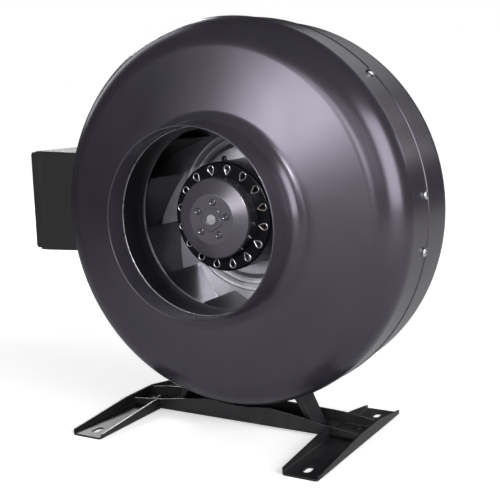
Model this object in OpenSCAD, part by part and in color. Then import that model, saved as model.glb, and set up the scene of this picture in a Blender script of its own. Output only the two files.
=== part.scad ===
// Inline duct fan: two pressed shells round a motorised impeller with
// backward-curved blades, on a stamped steel foot bracket, with a junction box.
// The duct axis is Y, air flows towards +Y, +Z is up, and the origin is the
// centre of the inlet collar's mouth.

/* [Housing] */
// Outer radius of the housing at its widest
housing_r = 155; // [150:1:160]
// Outer radius of the inlet and outlet collars
collar_r = 74; // [73:0.5:75]
// Distance between the mouths of the two collars
total_len = 195; // [194:1:198]
// Distance from a mouth to the start of that shell's skirt
shoulder_y = 63; // [62:0.5:64]
// Outer radius of the rounded shoulder between face and skirt
shoulder_r = 26; // [22:1:28]
// Radius of the hollow curve between collar and face
fillet_r = 11; // [9:1:12]
// Slope of the shell's face, in degrees from square to the duct
face_slope = 4; // [2:0.5:6]
// Sheet thickness of the shells
sheet_t = 1.2; // [1:0.1:1.4]
// Distance from the inlet mouth to the front shell's open edge
seam_y = 94.5; // [93:0.5:96]
// How far the rear shell reaches inside the front shell
overlap_len = 14.5; // [13:0.5:16]

/* [Impeller] */
// Outer radius of the impeller
impeller_r = 110; // [106:1:114]
// Radius of the impeller's eye and of the blades' leading edges
eye_r = 73.4; // [73:0.1:74]
// Number of blades
blade_count = 11; // [11]
// Radius of the arc that a blade follows
blade_arc_r = 163; // [140:1:180]
// Angle between the leading edge and the circle through it
blade_inlet_angle = 17; // [14:1:22]
// Angle of the first blade's leading edge round the duct axis
blade_phase = 189; // [180:1:200]
// Blade sheet thickness
blade_t = 1.2; // [1:0.1:1.4]

/* [Motor] */
// Outer radius of the rotor can
can_r = 43.5; // [43:0.1:44]
// Radius of the cap on the rotor's nose
cap_r = 31.9; // [31:0.1:33]
// Radius of the flat disc on the cap
disc_r = 19.5; // [18:0.5:21]
// Shaft radius
shaft_r = 4; // [4]
// Number of vent openings round the rotor's nose
vent_count = 16; // [12:1:16]

/* [Junction box] */
// Depth of the box along the duct
box_depth = 62; // [60:1:64]
// Height of the box at its lid
box_height = 90; // [86:1:92]
// Height of the box's middle above the duct axis
box_mid_z = 5; // [3:1:7]
// Distance from the duct axis to the lid's outside
box_reach = 212.5; // [210:0.5:215]
// Wall thickness of the box
box_wall = 2.5; // [2:0.1:3]

/* [Foot bracket] */
// Height of the duct axis above the ground
axis_height = 175.5; // [175:0.5:177]
// Distance from the middle to a foot's outer side
foot_outer_x = 112; // [111:0.5:113]
// Width of a foot
foot_width = 31; // [30:0.5:32]
// Front end of the feet along the duct axis
foot_front_y = -13; // [-14:0.5:-12]
// Back end of the feet along the duct axis
foot_back_y = 145.5; // [145:0.5:146]
// Distance of a slot's centre from the end of its foot
slot_inset = 14.5; // [14:0.5:16]
// Width of a fixing slot
slot_w = 6; // [5:0.5:7]
// Length of a fixing slot
slot_l = 12; // [11:0.5:13]
// Sheet thickness of the bracket
bracket_t = 1.6; // [1.5:0.1:1.8]

/* [Hidden] */

$fn = 96;

// Colours
housing_color = "#4b484f";
plastic_color = "#2b292e";
bracket_color = "#232226";
zinc_color = "#c9ccd0";
blade_color = "#2a292d";
cap_color = "#59575c";
can_color = "#141416";
copper_color = "#b5673a";
iron_color = "#6d7075";
rubber_color = "#1a1a1a";
brass_color = "#b99a4b";

// Small gaps between pieces
contact_gap = 0.05;
slip_gap = 0.2;

// Housing
rear_r = housing_r - sheet_t - slip_gap;
rear_edge_y = seam_y - overlap_len;
rim_screw_y = 87;
rim_screw_angles = [44, 136, 6.5, -9.3];
box_screw_angles = [173.5, 190];
saddle_screw_angles = [-75, -105];
rim_hole_r = 2.1;
arc_steps = 14;

// Screws, their holes, and the nuts they turn into
screw_r = 2;
rim_head_r = 3.7;
rim_head_h = 2.3;
nut_r = 3;
nut_hole_r = 3.1;
nut_flange_r = 4.2;
nut_depth = 6;
nut_thread_r = 2.05;
pad_hole_r = 2.1;

// Nozzle
nozzle_y0 = 18.5;
nozzle_y_rim = nozzle_y0 + 2.5;
nozzle_y1 = 36;
nozzle_throat_r = 70.2;
nozzle_t = 1;

// Impeller
plate_y = 101;
plate_t = 1.2;
plate_step_r = 54;
plate_step_h = 2.4;
shroud_y0 = 34;
shroud_bend_y = 44;
shroud_bend_r = 14;
shroud_bend_angle = 65;
shroud_t = 1;
blade_pitch = 360 / blade_count;
blade_center = [eye_r - blade_arc_r * cos(blade_inlet_angle), blade_arc_r * sin(blade_inlet_angle)];
plate_rivet_count = 6;
plate_rivet_pcr = 48.5;
plate_hole_r = 1.6;
plate_rivet_r = 2.8;

// Motor
nose_y = 51;
cap_rim_y = 39.2;
disc_y = 35.2;
shaft_tip_r = 2.9;
shaft_end_y = 108.5;
can_t = 1.2;
can_flange_r = 53;
vent_pcr = 38.6;
vent_r = 2.1;
vent_tip = 4.3;
hub_rivet_count = 5;
hub_rivet_pcr = 13.4;
hub_rivet_r = 2.9;
hub_hole_r = 1.55;
hub_rivet_phase = 82;
core_y0 = 64.5;
core_y1 = 94;
rotor_bore_r = 36.2;
stator_r = 35.7;
stator_bore_r = 14;
stator_slots = 12;
winding_r = 4;
winding_spread = 1.55;
winding_pcr = 26.5;
bearing_r = 11;
bearing_w = 7;
bearing_bore_r = shaft_r + 0.03;
front_bearing_y = 64;
rear_bearing_y = 99;
base_y0 = 104;
base_y1 = 109;
base_r = 46;
motor_screw_pcr = 36;
motor_hole_r = 2.15;
motor_thread_r = 2.05;
lead_hole_r = 3.6;
support_t = 2;
support_r = 50;
support_bore_r = 13;
arm_width = 22;
arm_angles = [45, 135, 225, 315];
arm_pad_r0 = 90;
arm_pad_r1 = 106;
arm_pad_mid_r = (arm_pad_r0 + arm_pad_r1) / 2;
arm_root_r = support_r - 8;
lead_r = 2.5;
lead_y = 118;
lead_z = 5;
lead_bend_r = 9;
grommet_r = 6;
lead_base_x = -28;

// Junction box
box_y0 = 68;
box_y1 = box_y0 + box_depth;
box_draft = 2;
lid_t = 12.5;
gasket_t = 0.8;
box_rim_x = -(box_reach - lid_t);
box_floor_x = -159.5;
lid_screw_inset = 6;
gland_x = -183;
terminal_count = 5;
terminal_pitch = 10;
terminal_h = 16;
terminal_d = 15;
terminal_y = 97;
terminal_z = -24;
capacitor_x = -182;
capacitor_y = 84.5;
capacitor_r = 11;
capacitor_h = 58;
clip_t = 1;
clip_h = 12;
boss_r = 4.6;
body_boss_len = 16;

// Foot bracket
ground_z = -axis_height;
wall_low = 4.6;
wall_high = 10.6;
channel_y0 = 66.6;
channel_y1 = 98.6;
channel_half = 108.5;
channel_z = ground_z + bracket_t;
foot_inner_x = foot_outer_x - foot_width;
foot_mid_x = foot_outer_x - foot_width / 2;
saddle_t = 2;
saddle_w = 20;
saddle_y0 = (channel_y0 + channel_y1 - saddle_w) / 2;
saddle_screw_y = 87;
saddle_clear_r = housing_r + 0.2;

// Points of an arc round centre c, from angle a0 to a1
function arc(c, r, a0, a1, n = arc_steps) =
    [for (i = [0:n]) c + r * [cos(a0 + (a1 - a0) * i / n), sin(a0 + (a1 - a0) * i / n)]];

function reversed(list) = [for (i = [len(list) - 1:-1:0]) list[i]];

// Distance of a shell's outer face from its mouth, at radius r
function face_y(r, body_r) =
    shoulder_y - shoulder_r * cos(face_slope)
    + (r - body_r + shoulder_r - shoulder_r * sin(face_slope)) * tan(face_slope);

// One side of a shell's sheet, as [radius, distance from the mouth]
function shell_side(body_r, skirt_end, inset) =
    let (fillet_c = [collar_r + fillet_r,
                     face_y(collar_r + fillet_r * (1 - sin(face_slope)), body_r)
                     - fillet_r * cos(face_slope)],
         shoulder_c = [body_r - shoulder_r, shoulder_y])
    concat(
        [[collar_r - inset, 0]],
        arc(fillet_c, fillet_r + inset, 180, 90 + face_slope),
        arc(shoulder_c, shoulder_r - inset, face_slope - 90, 0),
        [[body_r - inset, skirt_end]]);

function shell_outline(body_r, skirt_end) =
    concat(shell_side(body_r, skirt_end, 0), reversed(shell_side(body_r, skirt_end, sheet_t)));

// The shroud's flow side, as [radius, y]
function shroud_side(inset) =
    let (bend_c = [eye_r + shroud_bend_r, shroud_bend_y],
         side = arc(bend_c, shroud_bend_r - inset, 180, 180 - shroud_bend_angle, 8),
         last = side[len(side) - 1],
         slope = tan(90 - shroud_bend_angle))
    concat([[eye_r + inset, shroud_y0]], side,
           [[impeller_r, last[1] + (impeller_r - last[0]) * slope]]);

// Turns a [radius, y] outline round the duct axis
module lathe(points) {
    rotate([-90, 0, 0])
        rotate_extrude($fn = 128)
            polygon(points);
}

// A ring or disc round the duct axis
module ring(r0, r1, y0, y1) {
    lathe([[r0, y0], [r1, y0], [r1, y1], [r0, y1]]);
}

// Places a child at an angle round the duct axis, +X pointing outwards
module radial(angle, y = 0) {
    rotate([0, -angle, 0])
        translate([0, y, 0])
            children();
}

// Extrudes a flat shape drawn in X and Z, from y0 to y1
module slab(y0, y1) {
    translate([0, y1, 0])
        rotate([90, 0, 0])
            linear_extrude(y1 - y0)
                children();
}

module rod_y(r, y0, y1) {
    translate([0, y0, 0])
        rotate([-90, 0, 0])
            cylinder(r = r, h = y1 - y0, $fn = 48);
}

module rod_x(r, x0, x1) {
    translate([x0, 0, 0])
        rotate([0, 90, 0])
            cylinder(r = r, h = x1 - x0, $fn = 48);
}

// Pan head screw, its head above z = 0 and its shank below
module pan_screw(head_r, head_h, shank_r, shank_l) {
    difference() {
        union() {
            cylinder(r1 = head_r, r2 = head_r * 0.72, h = head_h, $fn = 40);
            translate([0, 0, -shank_l])
                cylinder(r = shank_r, h = shank_l + 0.1, $fn = 32);
        }
        for (a = [0, 90])
            rotate([0, 0, a])
                translate([-head_r * 0.5, -head_r * 0.11, head_h * 0.4])
                    cube([head_r, head_r * 0.22, head_h]);
    }
}

module rim_screw_at(angle, y, seat_r, length) {
    radial(angle, y)
        translate([seat_r, 0, 0])
            rotate([0, 90, 0])
                pan_screw(rim_head_r, rim_head_h, screw_r, length);
}

module rim_hole_at(angle, y) {
    radial(angle, y)
        rod_x(rim_hole_r, rear_r - 12, housing_r + 12);
}

// Housing -----------------------------------------------------------------

module front_shell() {
    color(housing_color)
        difference() {
            lathe(shell_outline(housing_r, seam_y));
            for (a = concat(rim_screw_angles, box_screw_angles))
                rim_hole_at(a, rim_screw_y);
            for (a = saddle_screw_angles)
                rim_hole_at(a, saddle_screw_y);
        }
}

module rear_shell() {
    color(housing_color)
        difference() {
            translate([0, total_len, 0])
                mirror([0, 1, 0])
                    lathe(shell_outline(rear_r, total_len - rear_edge_y));
            for (a = concat(rim_screw_angles, box_screw_angles))
                radial(a, rim_screw_y)
                    rod_x(nut_hole_r, rear_r - 12, rear_r + 1);
            for (a = saddle_screw_angles)
                radial(a, saddle_screw_y)
                    rod_x(nut_hole_r, rear_r - 12, rear_r + 1);
            translate([0, lead_y, lead_z])
                rod_x(grommet_r, -rear_r - 5, -rear_r + 15);
            for (a = arm_angles)
                radial(a)
                    translate([arm_pad_mid_r, 0, 0])
                        rod_y(pad_hole_r, total_len - 45, total_len - 25);
        }
}

module inlet_nozzle() {
    outer_r = collar_r - sheet_t - contact_gap;
    color(housing_color)
        lathe(concat(
            [[outer_r - nozzle_t, nozzle_y0], [outer_r, nozzle_y0], [outer_r, nozzle_y_rim]],
            [[nozzle_throat_r + nozzle_t + 0.3, nozzle_y1 - 5], [nozzle_throat_r + nozzle_t, nozzle_y1]],
            [[nozzle_throat_r, nozzle_y1], [nozzle_throat_r + 0.3, nozzle_y1 - 5]]));
}

module rim_screws() {
    color(zinc_color)
        for (a = rim_screw_angles)
            rim_screw_at(a, rim_screw_y, housing_r + contact_gap, 8);
}

// Blind-side nuts pressed into the rear shell's skirt
module rivet_nuts() {
    color(zinc_color)
        for (a = concat(rim_screw_angles, box_screw_angles, saddle_screw_angles))
            radial(a, rim_screw_y)
                difference() {
                    union() {
                        rod_x(nut_r, rear_r - sheet_t - nut_depth, rear_r - 0.1);
                        rod_x(nut_flange_r, rear_r - sheet_t - nut_depth + 1.5, rear_r - sheet_t - 0.1);
                    }
                    rod_x(nut_thread_r, rear_r - 12, rear_r + 2);
                }
}

// Motor, fixed parts --------------------------------------------------------

// Profile of one support arm, as [radius, y]
function arm_outline() =
    let (pad_y0 = total_len - sheet_t - 0.15 - face_y(arm_pad_r0, rear_r),
         pad_y1 = total_len - sheet_t - 0.15 - face_y(arm_pad_r1, rear_r))
    [[arm_root_r, base_y1], [support_r + 3, base_y1], [arm_pad_r0 + 1.6, pad_y0 - support_t],
     [arm_pad_r1, pad_y1 - support_t], [arm_pad_r1, pad_y1], [arm_pad_r0, pad_y0],
     [support_r + 1.4, base_y1 + support_t], [arm_root_r, base_y1 + support_t]];

module motor_support() {
    color(bracket_color)
        difference() {
            union() {
                ring(support_bore_r, support_r - 5, base_y1, base_y1 + support_t);
                for (a = arm_angles)
                    radial(a)
                        translate([0, 0, -arm_width / 2])
                            linear_extrude(arm_width)
                                polygon(arm_outline());
            }
            for (a = [0:90:270])
                radial(a)
                    translate([motor_screw_pcr, 0, 0])
                        rod_y(motor_hole_r, base_y0, base_y1 + 5);
            for (a = arm_angles)
                radial(a)
                    translate([arm_pad_mid_r, 0, 0])
                        rod_y(pad_hole_r, total_len - 50, total_len - 25);
            translate([lead_base_x, 0, lead_z])
                rod_y(lead_hole_r, base_y0, base_y1 + 5);
        }
}

module support_screws() {
    seat_y = total_len - face_y(arm_pad_mid_r, rear_r) + 0.25;
    color(zinc_color)
        for (a = arm_angles)
            radial(a)
                translate([arm_pad_mid_r, seat_y, 0])
                    rotate([-90, 0, 0])
                        pan_screw(rim_head_r, rim_head_h, screw_r, 9);
}

module motor_screws() {
    color(zinc_color)
        for (a = [0:90:270])
            radial(a)
                translate([motor_screw_pcr, base_y1 + support_t + contact_gap, 0])
                    rotate([-90, 0, 0])
                        pan_screw(rim_head_r, rim_head_h, screw_r, 6);
}

module stator_base() {
    color(iron_color)
        difference() {
            union() {
                ring(bearing_r, base_r, base_y0, base_y1);
                ring(bearing_r, stator_bore_r - contact_gap, core_y0 - 1, base_y0 + 0.1);
                ring(shaft_r + 3, bearing_r + 0.1, front_bearing_y + bearing_w + contact_gap,
                     rear_bearing_y - 1.2);
            }
            for (a = [0:90:270])
                radial(a)
                    translate([motor_screw_pcr, 0, 0])
                        rod_y(motor_thread_r, base_y1 - 4.3, base_y1 + 1);
            translate([lead_base_x, 0, lead_z])
                rod_y(lead_hole_r, base_y0 - 1, base_y1 + 1);
        }
}

module stator_core() {
    color(iron_color)
        difference() {
            ring(stator_bore_r, stator_r, core_y0, core_y1);
            for (i = [0:stator_slots - 1])
                radial(i * 360 / stator_slots) {
                    translate([20, core_y0 - 1, -3])
                        cube([12.5, core_y1 - core_y0 + 2, 6]);
                    translate([30, core_y0 - 1, -1])
                        cube([8, core_y1 - core_y0 + 2, 2]);
                }
        }
}

module stator_insulators() {
    color("white")
        for (y = [core_y0 - 1.2, core_y1 + 0.1])
            ring(stator_bore_r + 0.2, 19.5, y, y + 1.1);
}

// End turns of the windings, each a rounded ring of copper
module stator_windings() {
    color(copper_color)
        for (y = [core_y0 - winding_r - 0.1, core_y1 + winding_r + 0.1])
            rotate([-90, 0, 0])
                translate([0, 0, y])
                    rotate_extrude($fn = 96)
                        translate([winding_pcr, 0])
                            scale([winding_spread, 1])
                                circle(r = winding_r, $fn = 32);
}

module bearing(y) {
    difference() {
        ring(bearing_bore_r, bearing_r - 0.02, y, y + bearing_w);
        for (side = [y - 0.1, y + bearing_w - 0.5])
            ring(6.2, 9.2, side, side + 0.6);
    }
}

module front_bearing() {
    color("silver") bearing(front_bearing_y);
}

module rear_bearing() {
    color("silver") bearing(rear_bearing_y);
}

module bearing_washer() {
    color("silver")
        ring(shaft_r + 3.5, bearing_r - 0.3, rear_bearing_y - 1.1, rear_bearing_y - 0.1);
}

// The lead leaves the motor's base, turns, and runs straight to the box
module motor_lead() {
    bend_x = lead_base_x - lead_bend_r;
    color(rubber_color)
        translate([0, 0, lead_z]) {
            translate([lead_base_x, 0, 0])
                rod_y(lead_r, base_y0 + 0.5, lead_y - lead_bend_r);
            translate([bend_x, lead_y - lead_bend_r, 0])
                rotate_extrude(angle = 90, $fn = 48)
                    translate([lead_bend_r, 0])
                        circle(r = lead_r, $fn = 32);
            translate([0, lead_y, 0])
                rod_x(lead_r, -rear_r - 20, bend_x);
        }
}

// Rubber sleeve in the shell's hole, its collar inside the shell
module lead_grommet() {
    collar_x = -rear_r + sheet_t + 0.8;
    color(rubber_color)
        translate([0, lead_y, lead_z])
            difference() {
                union() {
                    rod_x(grommet_r - 0.1, -rear_r + 0.6, collar_x);
                    rod_x(grommet_r + 2, collar_x - 0.1, collar_x + 2.3);
                }
                rod_x(lead_r + 0.05, -rear_r - 5, -rear_r + 10);
            }
}

// Junction box --------------------------------------------------------------

// Side view of the box in X and Z, drawn in from its outside by inset
module box_side(x0, x1, inset) {
    half = box_height / 2 - inset;
    polygon([[x0, box_mid_z + half], [x1, box_mid_z + half - box_draft],
             [x1, box_mid_z - half + box_draft], [x0, box_mid_z - half]]);
}

// The round seat that the box and the saddles leave for the housing
module housing_seat(gap) {
    ring(0, housing_r + gap, 40, seam_y + 0.5);
    ring(0, rear_r + gap, seam_y + 0.4, 150);
}

module box_body() {
    color(plastic_color)
        difference() {
            union() {
                difference() {
                    slab(box_y0, box_y1)
                        box_side(box_rim_x + gasket_t, -140, 0);
                    slab(box_y0 + box_wall, box_y1 - box_wall)
                        box_side(box_rim_x - 1, box_floor_x, box_wall);
                }
                lid_screw_places()
                    rod_x(boss_r, lid_t + gasket_t, lid_t + body_boss_len);
            }
            lid_screw_places()
                rod_x(1.75, lid_t - 1, lid_t + body_boss_len + 1);
            housing_seat(0.1);
            for (a = box_screw_angles)
                rim_hole_at(a, rim_screw_y);
            translate([0, lead_y, lead_z])
                rod_x(lead_r + 0.3, -rear_r - 12, -rear_r + 5);
            translate([gland_x, 0, box_mid_z])
                rod_y(8.1, box_y1 - box_wall - 1, box_y1 + 1);
        }
}

module box_gasket() {
    color(rubber_color)
        difference() {
            slab(box_y0 + 0.3, box_y1 - 0.3)
                translate([box_rim_x, box_mid_z - box_height / 2 + 0.3])
                    square([gasket_t, box_height - 0.6]);
            slab(box_y0 + box_wall, box_y1 - box_wall)
                translate([box_rim_x - 1, box_mid_z - box_height / 2 + box_wall])
                    square([gasket_t + 2, box_height - 2 * box_wall]);
            lid_screw_places()
                rod_x(2, lid_t - 1, lid_t + 2);
        }
}

module lid_screw_places() {
    for (y = [box_y0 + lid_screw_inset, box_y1 - lid_screw_inset])
        for (z = [-1, 1])
            translate([-box_reach, y, box_mid_z + z * (box_height / 2 - lid_screw_inset)])
                children();
}

// Lid: a flange, and a slightly smaller cap outside it, open towards the box
module box_lid() {
    half = box_height / 2;
    cap_inset = 1;
    color(plastic_color)
        difference() {
            union() {
                slab(box_y0, box_y1)
                    translate([box_rim_x - 6, box_mid_z - half])
                        square([6, box_height]);
                slab(box_y0 + cap_inset, box_y1 - cap_inset)
                    translate([-box_reach, box_mid_z - half + cap_inset])
                        square([lid_t - 5, box_height - 2 * cap_inset]);
            }
            difference() {
                slab(box_y0 + 4, box_y1 - 4)
                    translate([-box_reach + box_wall, box_mid_z - half + 4])
                        square([lid_t, box_height - 8]);
                lid_screw_places()
                    rod_x(boss_r, 0, lid_t);
            }
            lid_screw_places()
                rod_x(1.8, -1, lid_t + 1);
        }
}

module lid_screws() {
    color(zinc_color)
        lid_screw_places()
            rotate([0, -90, 0])
                pan_screw(2.9, 1.6, 1.7, lid_t + 10);
}

module box_screws() {
    color(zinc_color)
        for (a = box_screw_angles)
            rim_screw_at(a, rim_screw_y, box_floor_x / cos(a) + rim_head_r * abs(tan(a)) + contact_gap,
                         12);
}

// Middles of the terminals' screw holes, on the block's front face
module terminal_places() {
    for (i = [0:terminal_count - 1])
        translate([box_floor_x - contact_gap - terminal_h, terminal_y + terminal_d / 2,
                   terminal_z + (i + 0.5) * terminal_pitch])
            children();
}

module terminal_block() {
    color("ivory")
        difference() {
            translate([box_floor_x - contact_gap - terminal_h, terminal_y, terminal_z])
                cube([terminal_h, terminal_d, terminal_count * terminal_pitch]);
            terminal_places()
                rod_x(2.2, -1, 10);
        }
}

module terminal_screws() {
    color(brass_color)
        terminal_places()
            translate([3, 0, 0])
                rotate([0, -90, 0])
                    pan_screw(2.1, 1.2, 1.4, 5);
}

module capacitor() {
    color("whitesmoke")
        translate([capacitor_x, capacitor_y, box_mid_z - capacitor_h / 2])
            cylinder(r = capacitor_r, h = capacitor_h, $fn = 64);
}

// Ring round the capacitor, with a foot on the box's floor
module capacitor_clip() {
    reach = box_floor_x - capacitor_x - contact_gap;
    color(zinc_color)
        translate([capacitor_x, capacitor_y, box_mid_z - clip_h / 2])
            difference() {
                union() {
                    cylinder(r = capacitor_r + clip_t, h = clip_h, $fn = 64);
                    translate([capacitor_r, -4, 0])
                        cube([reach - capacitor_r, 8, clip_h]);
                }
                translate([0, 0, -1])
                    cylinder(r = capacitor_r + contact_gap, h = clip_h + 2, $fn = 64);
            }
}

module gland_body() {
    color(plastic_color)
        translate([gland_x, 0, box_mid_z])
            difference() {
                union() {
                    rod_y(8, box_y1 - box_wall - 3, box_y1 + 9);
                    translate([0, box_y1 + 0.1, 0])
                        rotate([-90, 0, 0])
                            cylinder(r = 12, h = 5, $fn = 6);
                }
                rod_y(6, box_y1 - box_wall - 4, box_y1 + 10);
            }
}

module gland_seal() {
    color(rubber_color)
        translate([gland_x, 0, box_mid_z])
            difference() {
                rod_y(5.95, box_y1 - 1, box_y1 + 12);
                rod_y(4, box_y1 - 2, box_y1 + 13);
            }
}

module gland_nut() {
    color(plastic_color)
        translate([gland_x, 0, box_mid_z])
            difference() {
                union() {
                    translate([0, box_y1 + 5.4, 0])
                        rotate([-90, 0, 0])
                            cylinder(r = 12, h = 7, $fn = 6);
                    translate([0, box_y1 + 12.3, 0])
                        rotate([-90, 0, 0])
                            cylinder(r1 = 10, r2 = 7.5, h = 4, $fn = 48);
                }
                rod_y(8.1, box_y1 + 5, box_y1 + 9.2);
                rod_y(6.05, box_y1 + 9, box_y1 + 12.3);
                rod_y(5, box_y1 + 12, box_y1 + 17);
            }
}

// Foot bracket --------------------------------------------------------------

// Upper edge of each wall, as [distance from the middle, height above the channel's floor]
front_wall_edge = [[108.5, 6.6], [80, 9.2], [52, 13.4], [30, 16.2], [20, 15.4], [10, 14.4], [0, 14]];
back_wall_edge = [[108.5, 8.4], [90, 10.8], [72, 11.8], [30, 12.8], [0, 12.4]];

module channel_wall(edge) {
    right = [for (p = edge) [p[0], channel_z + p[1]]];
    left = [for (i = [len(right) - 2:-1:0]) [-right[i][0], right[i][1]]];
    polygon(concat([[-channel_half, channel_z], [channel_half, channel_z]], right, left));
}

module cross_channel() {
    color(bracket_color)
        difference() {
            union() {
                translate([-channel_half, channel_y0, channel_z])
                    cube([2 * channel_half, channel_y1 - channel_y0, bracket_t]);
                slab(channel_y0, channel_y0 + bracket_t)
                    channel_wall(front_wall_edge);
                slab(channel_y1 - bracket_t, channel_y1)
                    channel_wall(back_wall_edge);
            }
            bracket_rivet_places()
                cylinder(r = 2.05, h = 3 * bracket_t, $fn = 32);
        }
}

// Places of the rivets that hold the channel to the feet
module bracket_rivet_places() {
    for (x = [-foot_mid_x, foot_mid_x])
        for (y = [channel_y0 + 7, channel_y1 - 7])
            translate([x, y, ground_z])
                children();
}

module bracket_rivets() {
    color(bracket_color)
        bracket_rivet_places()
            union() {
                translate([0, 0, 0.2])
                    cylinder(r = 2, h = 2 * bracket_t - 0.1, $fn = 32);
                translate([0, 0, 2 * bracket_t + 0.05])
                    cylinder(r1 = 3.6, r2 = 2.2, h = 1.4, $fn = 32);
            }
}

// A foot wall drawn in Y and Z, rising from its low ends to its middle
module foot_wall(y0, y1, z0, z1, x) {
    translate([x, 0, 0])
        rotate([90, 0, 90])
            linear_extrude(bracket_t)
                polygon([[y0, ground_z], [y1, ground_z], [y1, ground_z + z1], [y0, ground_z + z0]]);
}

module slot_cut(y) {
    straight = (slot_l - slot_w) / 2;
    for (end = [-straight, straight])
        translate([foot_mid_x, y + end, ground_z - 1])
            cylinder(r = slot_w / 2, h = bracket_t + 2, $fn = 48);
    translate([foot_mid_x - slot_w / 2, y - straight, ground_z - 1])
        cube([slot_w, 2 * straight, bracket_t + 2]);
}

module rounded_plate(x0, x1, y0, y1, r, h) {
    translate([x0, y0 + r, 0])
        cube([x1 - x0, y1 - y0 - 2 * r, h]);
    translate([x0 + r, y0, 0])
        cube([x1 - x0 - 2 * r, y1 - y0, h]);
    for (x = [x0 + r, x1 - r])
        for (y = [y0 + r, y1 - r])
            translate([x, y, 0])
                cylinder(r = r, h = h, $fn = 48);
}

module foot() {
    corner = 4;
    outer_x = foot_outer_x - bracket_t;
    inner_gap = 0.5;
    color(bracket_color)
        difference() {
            union() {
                translate([0, 0, ground_z])
                    rounded_plate(foot_inner_x, foot_outer_x, foot_front_y, foot_back_y, corner, bracket_t);
                foot_wall(foot_front_y + corner, channel_y0 - 8, wall_low, wall_high, outer_x);
                foot_wall(channel_y0 - 8.1, channel_y1 + 1, wall_high, wall_high, outer_x);
                foot_wall(channel_y1 + 0.9, foot_back_y - corner, wall_high, wall_low, outer_x);
                foot_wall(foot_front_y + corner, channel_y0 - inner_gap, wall_low, wall_high, foot_inner_x);
                foot_wall(channel_y1 + inner_gap, foot_back_y - corner, wall_high, wall_low, foot_inner_x);
            }
            slot_cut(foot_front_y + slot_inset);
            slot_cut(foot_back_y - slot_inset);
            bracket_rivet_places()
                translate([0, 0, -1])
                    cylinder(r = 2.05, h = 4 * bracket_t, $fn = 32);
        }
}

module right_foot() {
    foot();
}

module left_foot() {
    mirror([1, 0, 0]) foot();
}

// Side view of a saddle: a pad on the channel, a leaning leg, and a curved seat
module saddle_side() {
    pad_z = channel_z + bracket_t + contact_gap;
    difference() {
        union() {
            translate([65, pad_z])
                square([15, saddle_t]);
            polygon([[65, pad_z], [67.4, pad_z], [67.4, pad_z + saddle_t], [55.2, -146.8],
                     [52.6, -146.8]]);
            difference() {
                intersection() {
                    circle(r = saddle_clear_r + saddle_t, $fn = 192);
                    polygon([[0, 0], [200 * cos(-80.5), 200 * sin(-80.5)],
                             [200 * cos(-69.5), 200 * sin(-69.5)]]);
                }
                circle(r = saddle_clear_r, $fn = 192);
            }
        }
        circle(r = saddle_clear_r, $fn = 192);
    }
}

module saddle() {
    color(bracket_color)
        difference() {
            slab(saddle_y0, saddle_y0 + saddle_w)
                saddle_side();
            rim_hole_at(saddle_screw_angles[0], saddle_screw_y);
        }
}

module right_saddle() {
    saddle();
}

module left_saddle() {
    mirror([1, 0, 0]) saddle();
}

module saddle_screws() {
    color(zinc_color)
        for (a = saddle_screw_angles)
            rim_screw_at(a, saddle_screw_y, saddle_clear_r + saddle_t + contact_gap, 11);
}

// Rotor ---------------------------------------------------------------------

// A teardrop opening in the rotor's nose, its tip towards the axis
module vent() {
    slab(nose_y - 1, nose_y + 3)
        union() {
            circle(r = vent_r, $fn = 32);
            polygon([[0, -vent_r * 0.93], [0, vent_r * 0.93], [-vent_tip, 0]]);
        }
}

module rotor_can() {
    flange_y = plate_y - plate_step_h + contact_gap;
    color(can_color)
        difference() {
            lathe(concat(
                [[26, nose_y]],
                arc([can_r - 2, nose_y + 2], 2, -90, 0, 4),
                [[can_r, flange_y], [can_flange_r, flange_y],
                 [can_flange_r, flange_y + 1], [can_r - can_t, flange_y + 1],
                 [can_r - can_t, nose_y + 2.4], [can_r - 2.4, nose_y + can_t], [26, nose_y + can_t]]));
            for (i = [0:vent_count - 1])
                radial((i + 0.5) * 360 / vent_count + 2)
                    translate([vent_pcr, 0, 0])
                        vent();
            for (i = [0:plate_rivet_count - 1])
                radial(i * 360 / plate_rivet_count)
                    translate([plate_rivet_pcr, 0, 0])
                        rod_y(plate_hole_r, plate_y - 8, plate_y + 8);
        }
}

module hub_cap() {
    t = 1.5;
    color(cap_color)
        difference() {
            lathe([[shaft_r + 0.02, disc_y], [disc_r, disc_y], [cap_r - 0.8, cap_rim_y - 0.4],
                   [cap_r, cap_rim_y + 0.6], [cap_r, nose_y - contact_gap], [cap_r - t, nose_y - contact_gap],
                   [cap_r - t, cap_rim_y + t], [disc_r, disc_y + t], [shaft_r + 0.02, disc_y + t]]);
            for (i = [0:hub_rivet_count - 1])
                radial(hub_rivet_phase + i * 360 / hub_rivet_count)
                    translate([hub_rivet_pcr, 0, 0])
                        rod_y(hub_hole_r, disc_y - 1, disc_y + 4);
        }
}

module hub_rivets() {
    color(cap_color)
        for (i = [0:hub_rivet_count - 1])
            radial(hub_rivet_phase + i * 360 / hub_rivet_count)
                translate([hub_rivet_pcr, 0, 0])
                    difference() {
                        union() {
                            rod_y(hub_hole_r - 0.05, disc_y - 0.1, disc_y + 8);
                            rod_y(hub_rivet_r, disc_y - 0.8, disc_y - 0.05);
                        }
                        rod_y(hub_rivet_r - 1.4, disc_y - 1, disc_y - 0.3);
                    }
}

module rotor_shaft() {
    color("silver")
        union() {
            rod_y(shaft_r - 0.01, disc_y - 0.3, shaft_end_y);
            rod_y(shaft_tip_r, disc_y - 0.8, disc_y);
        }
}

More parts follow.
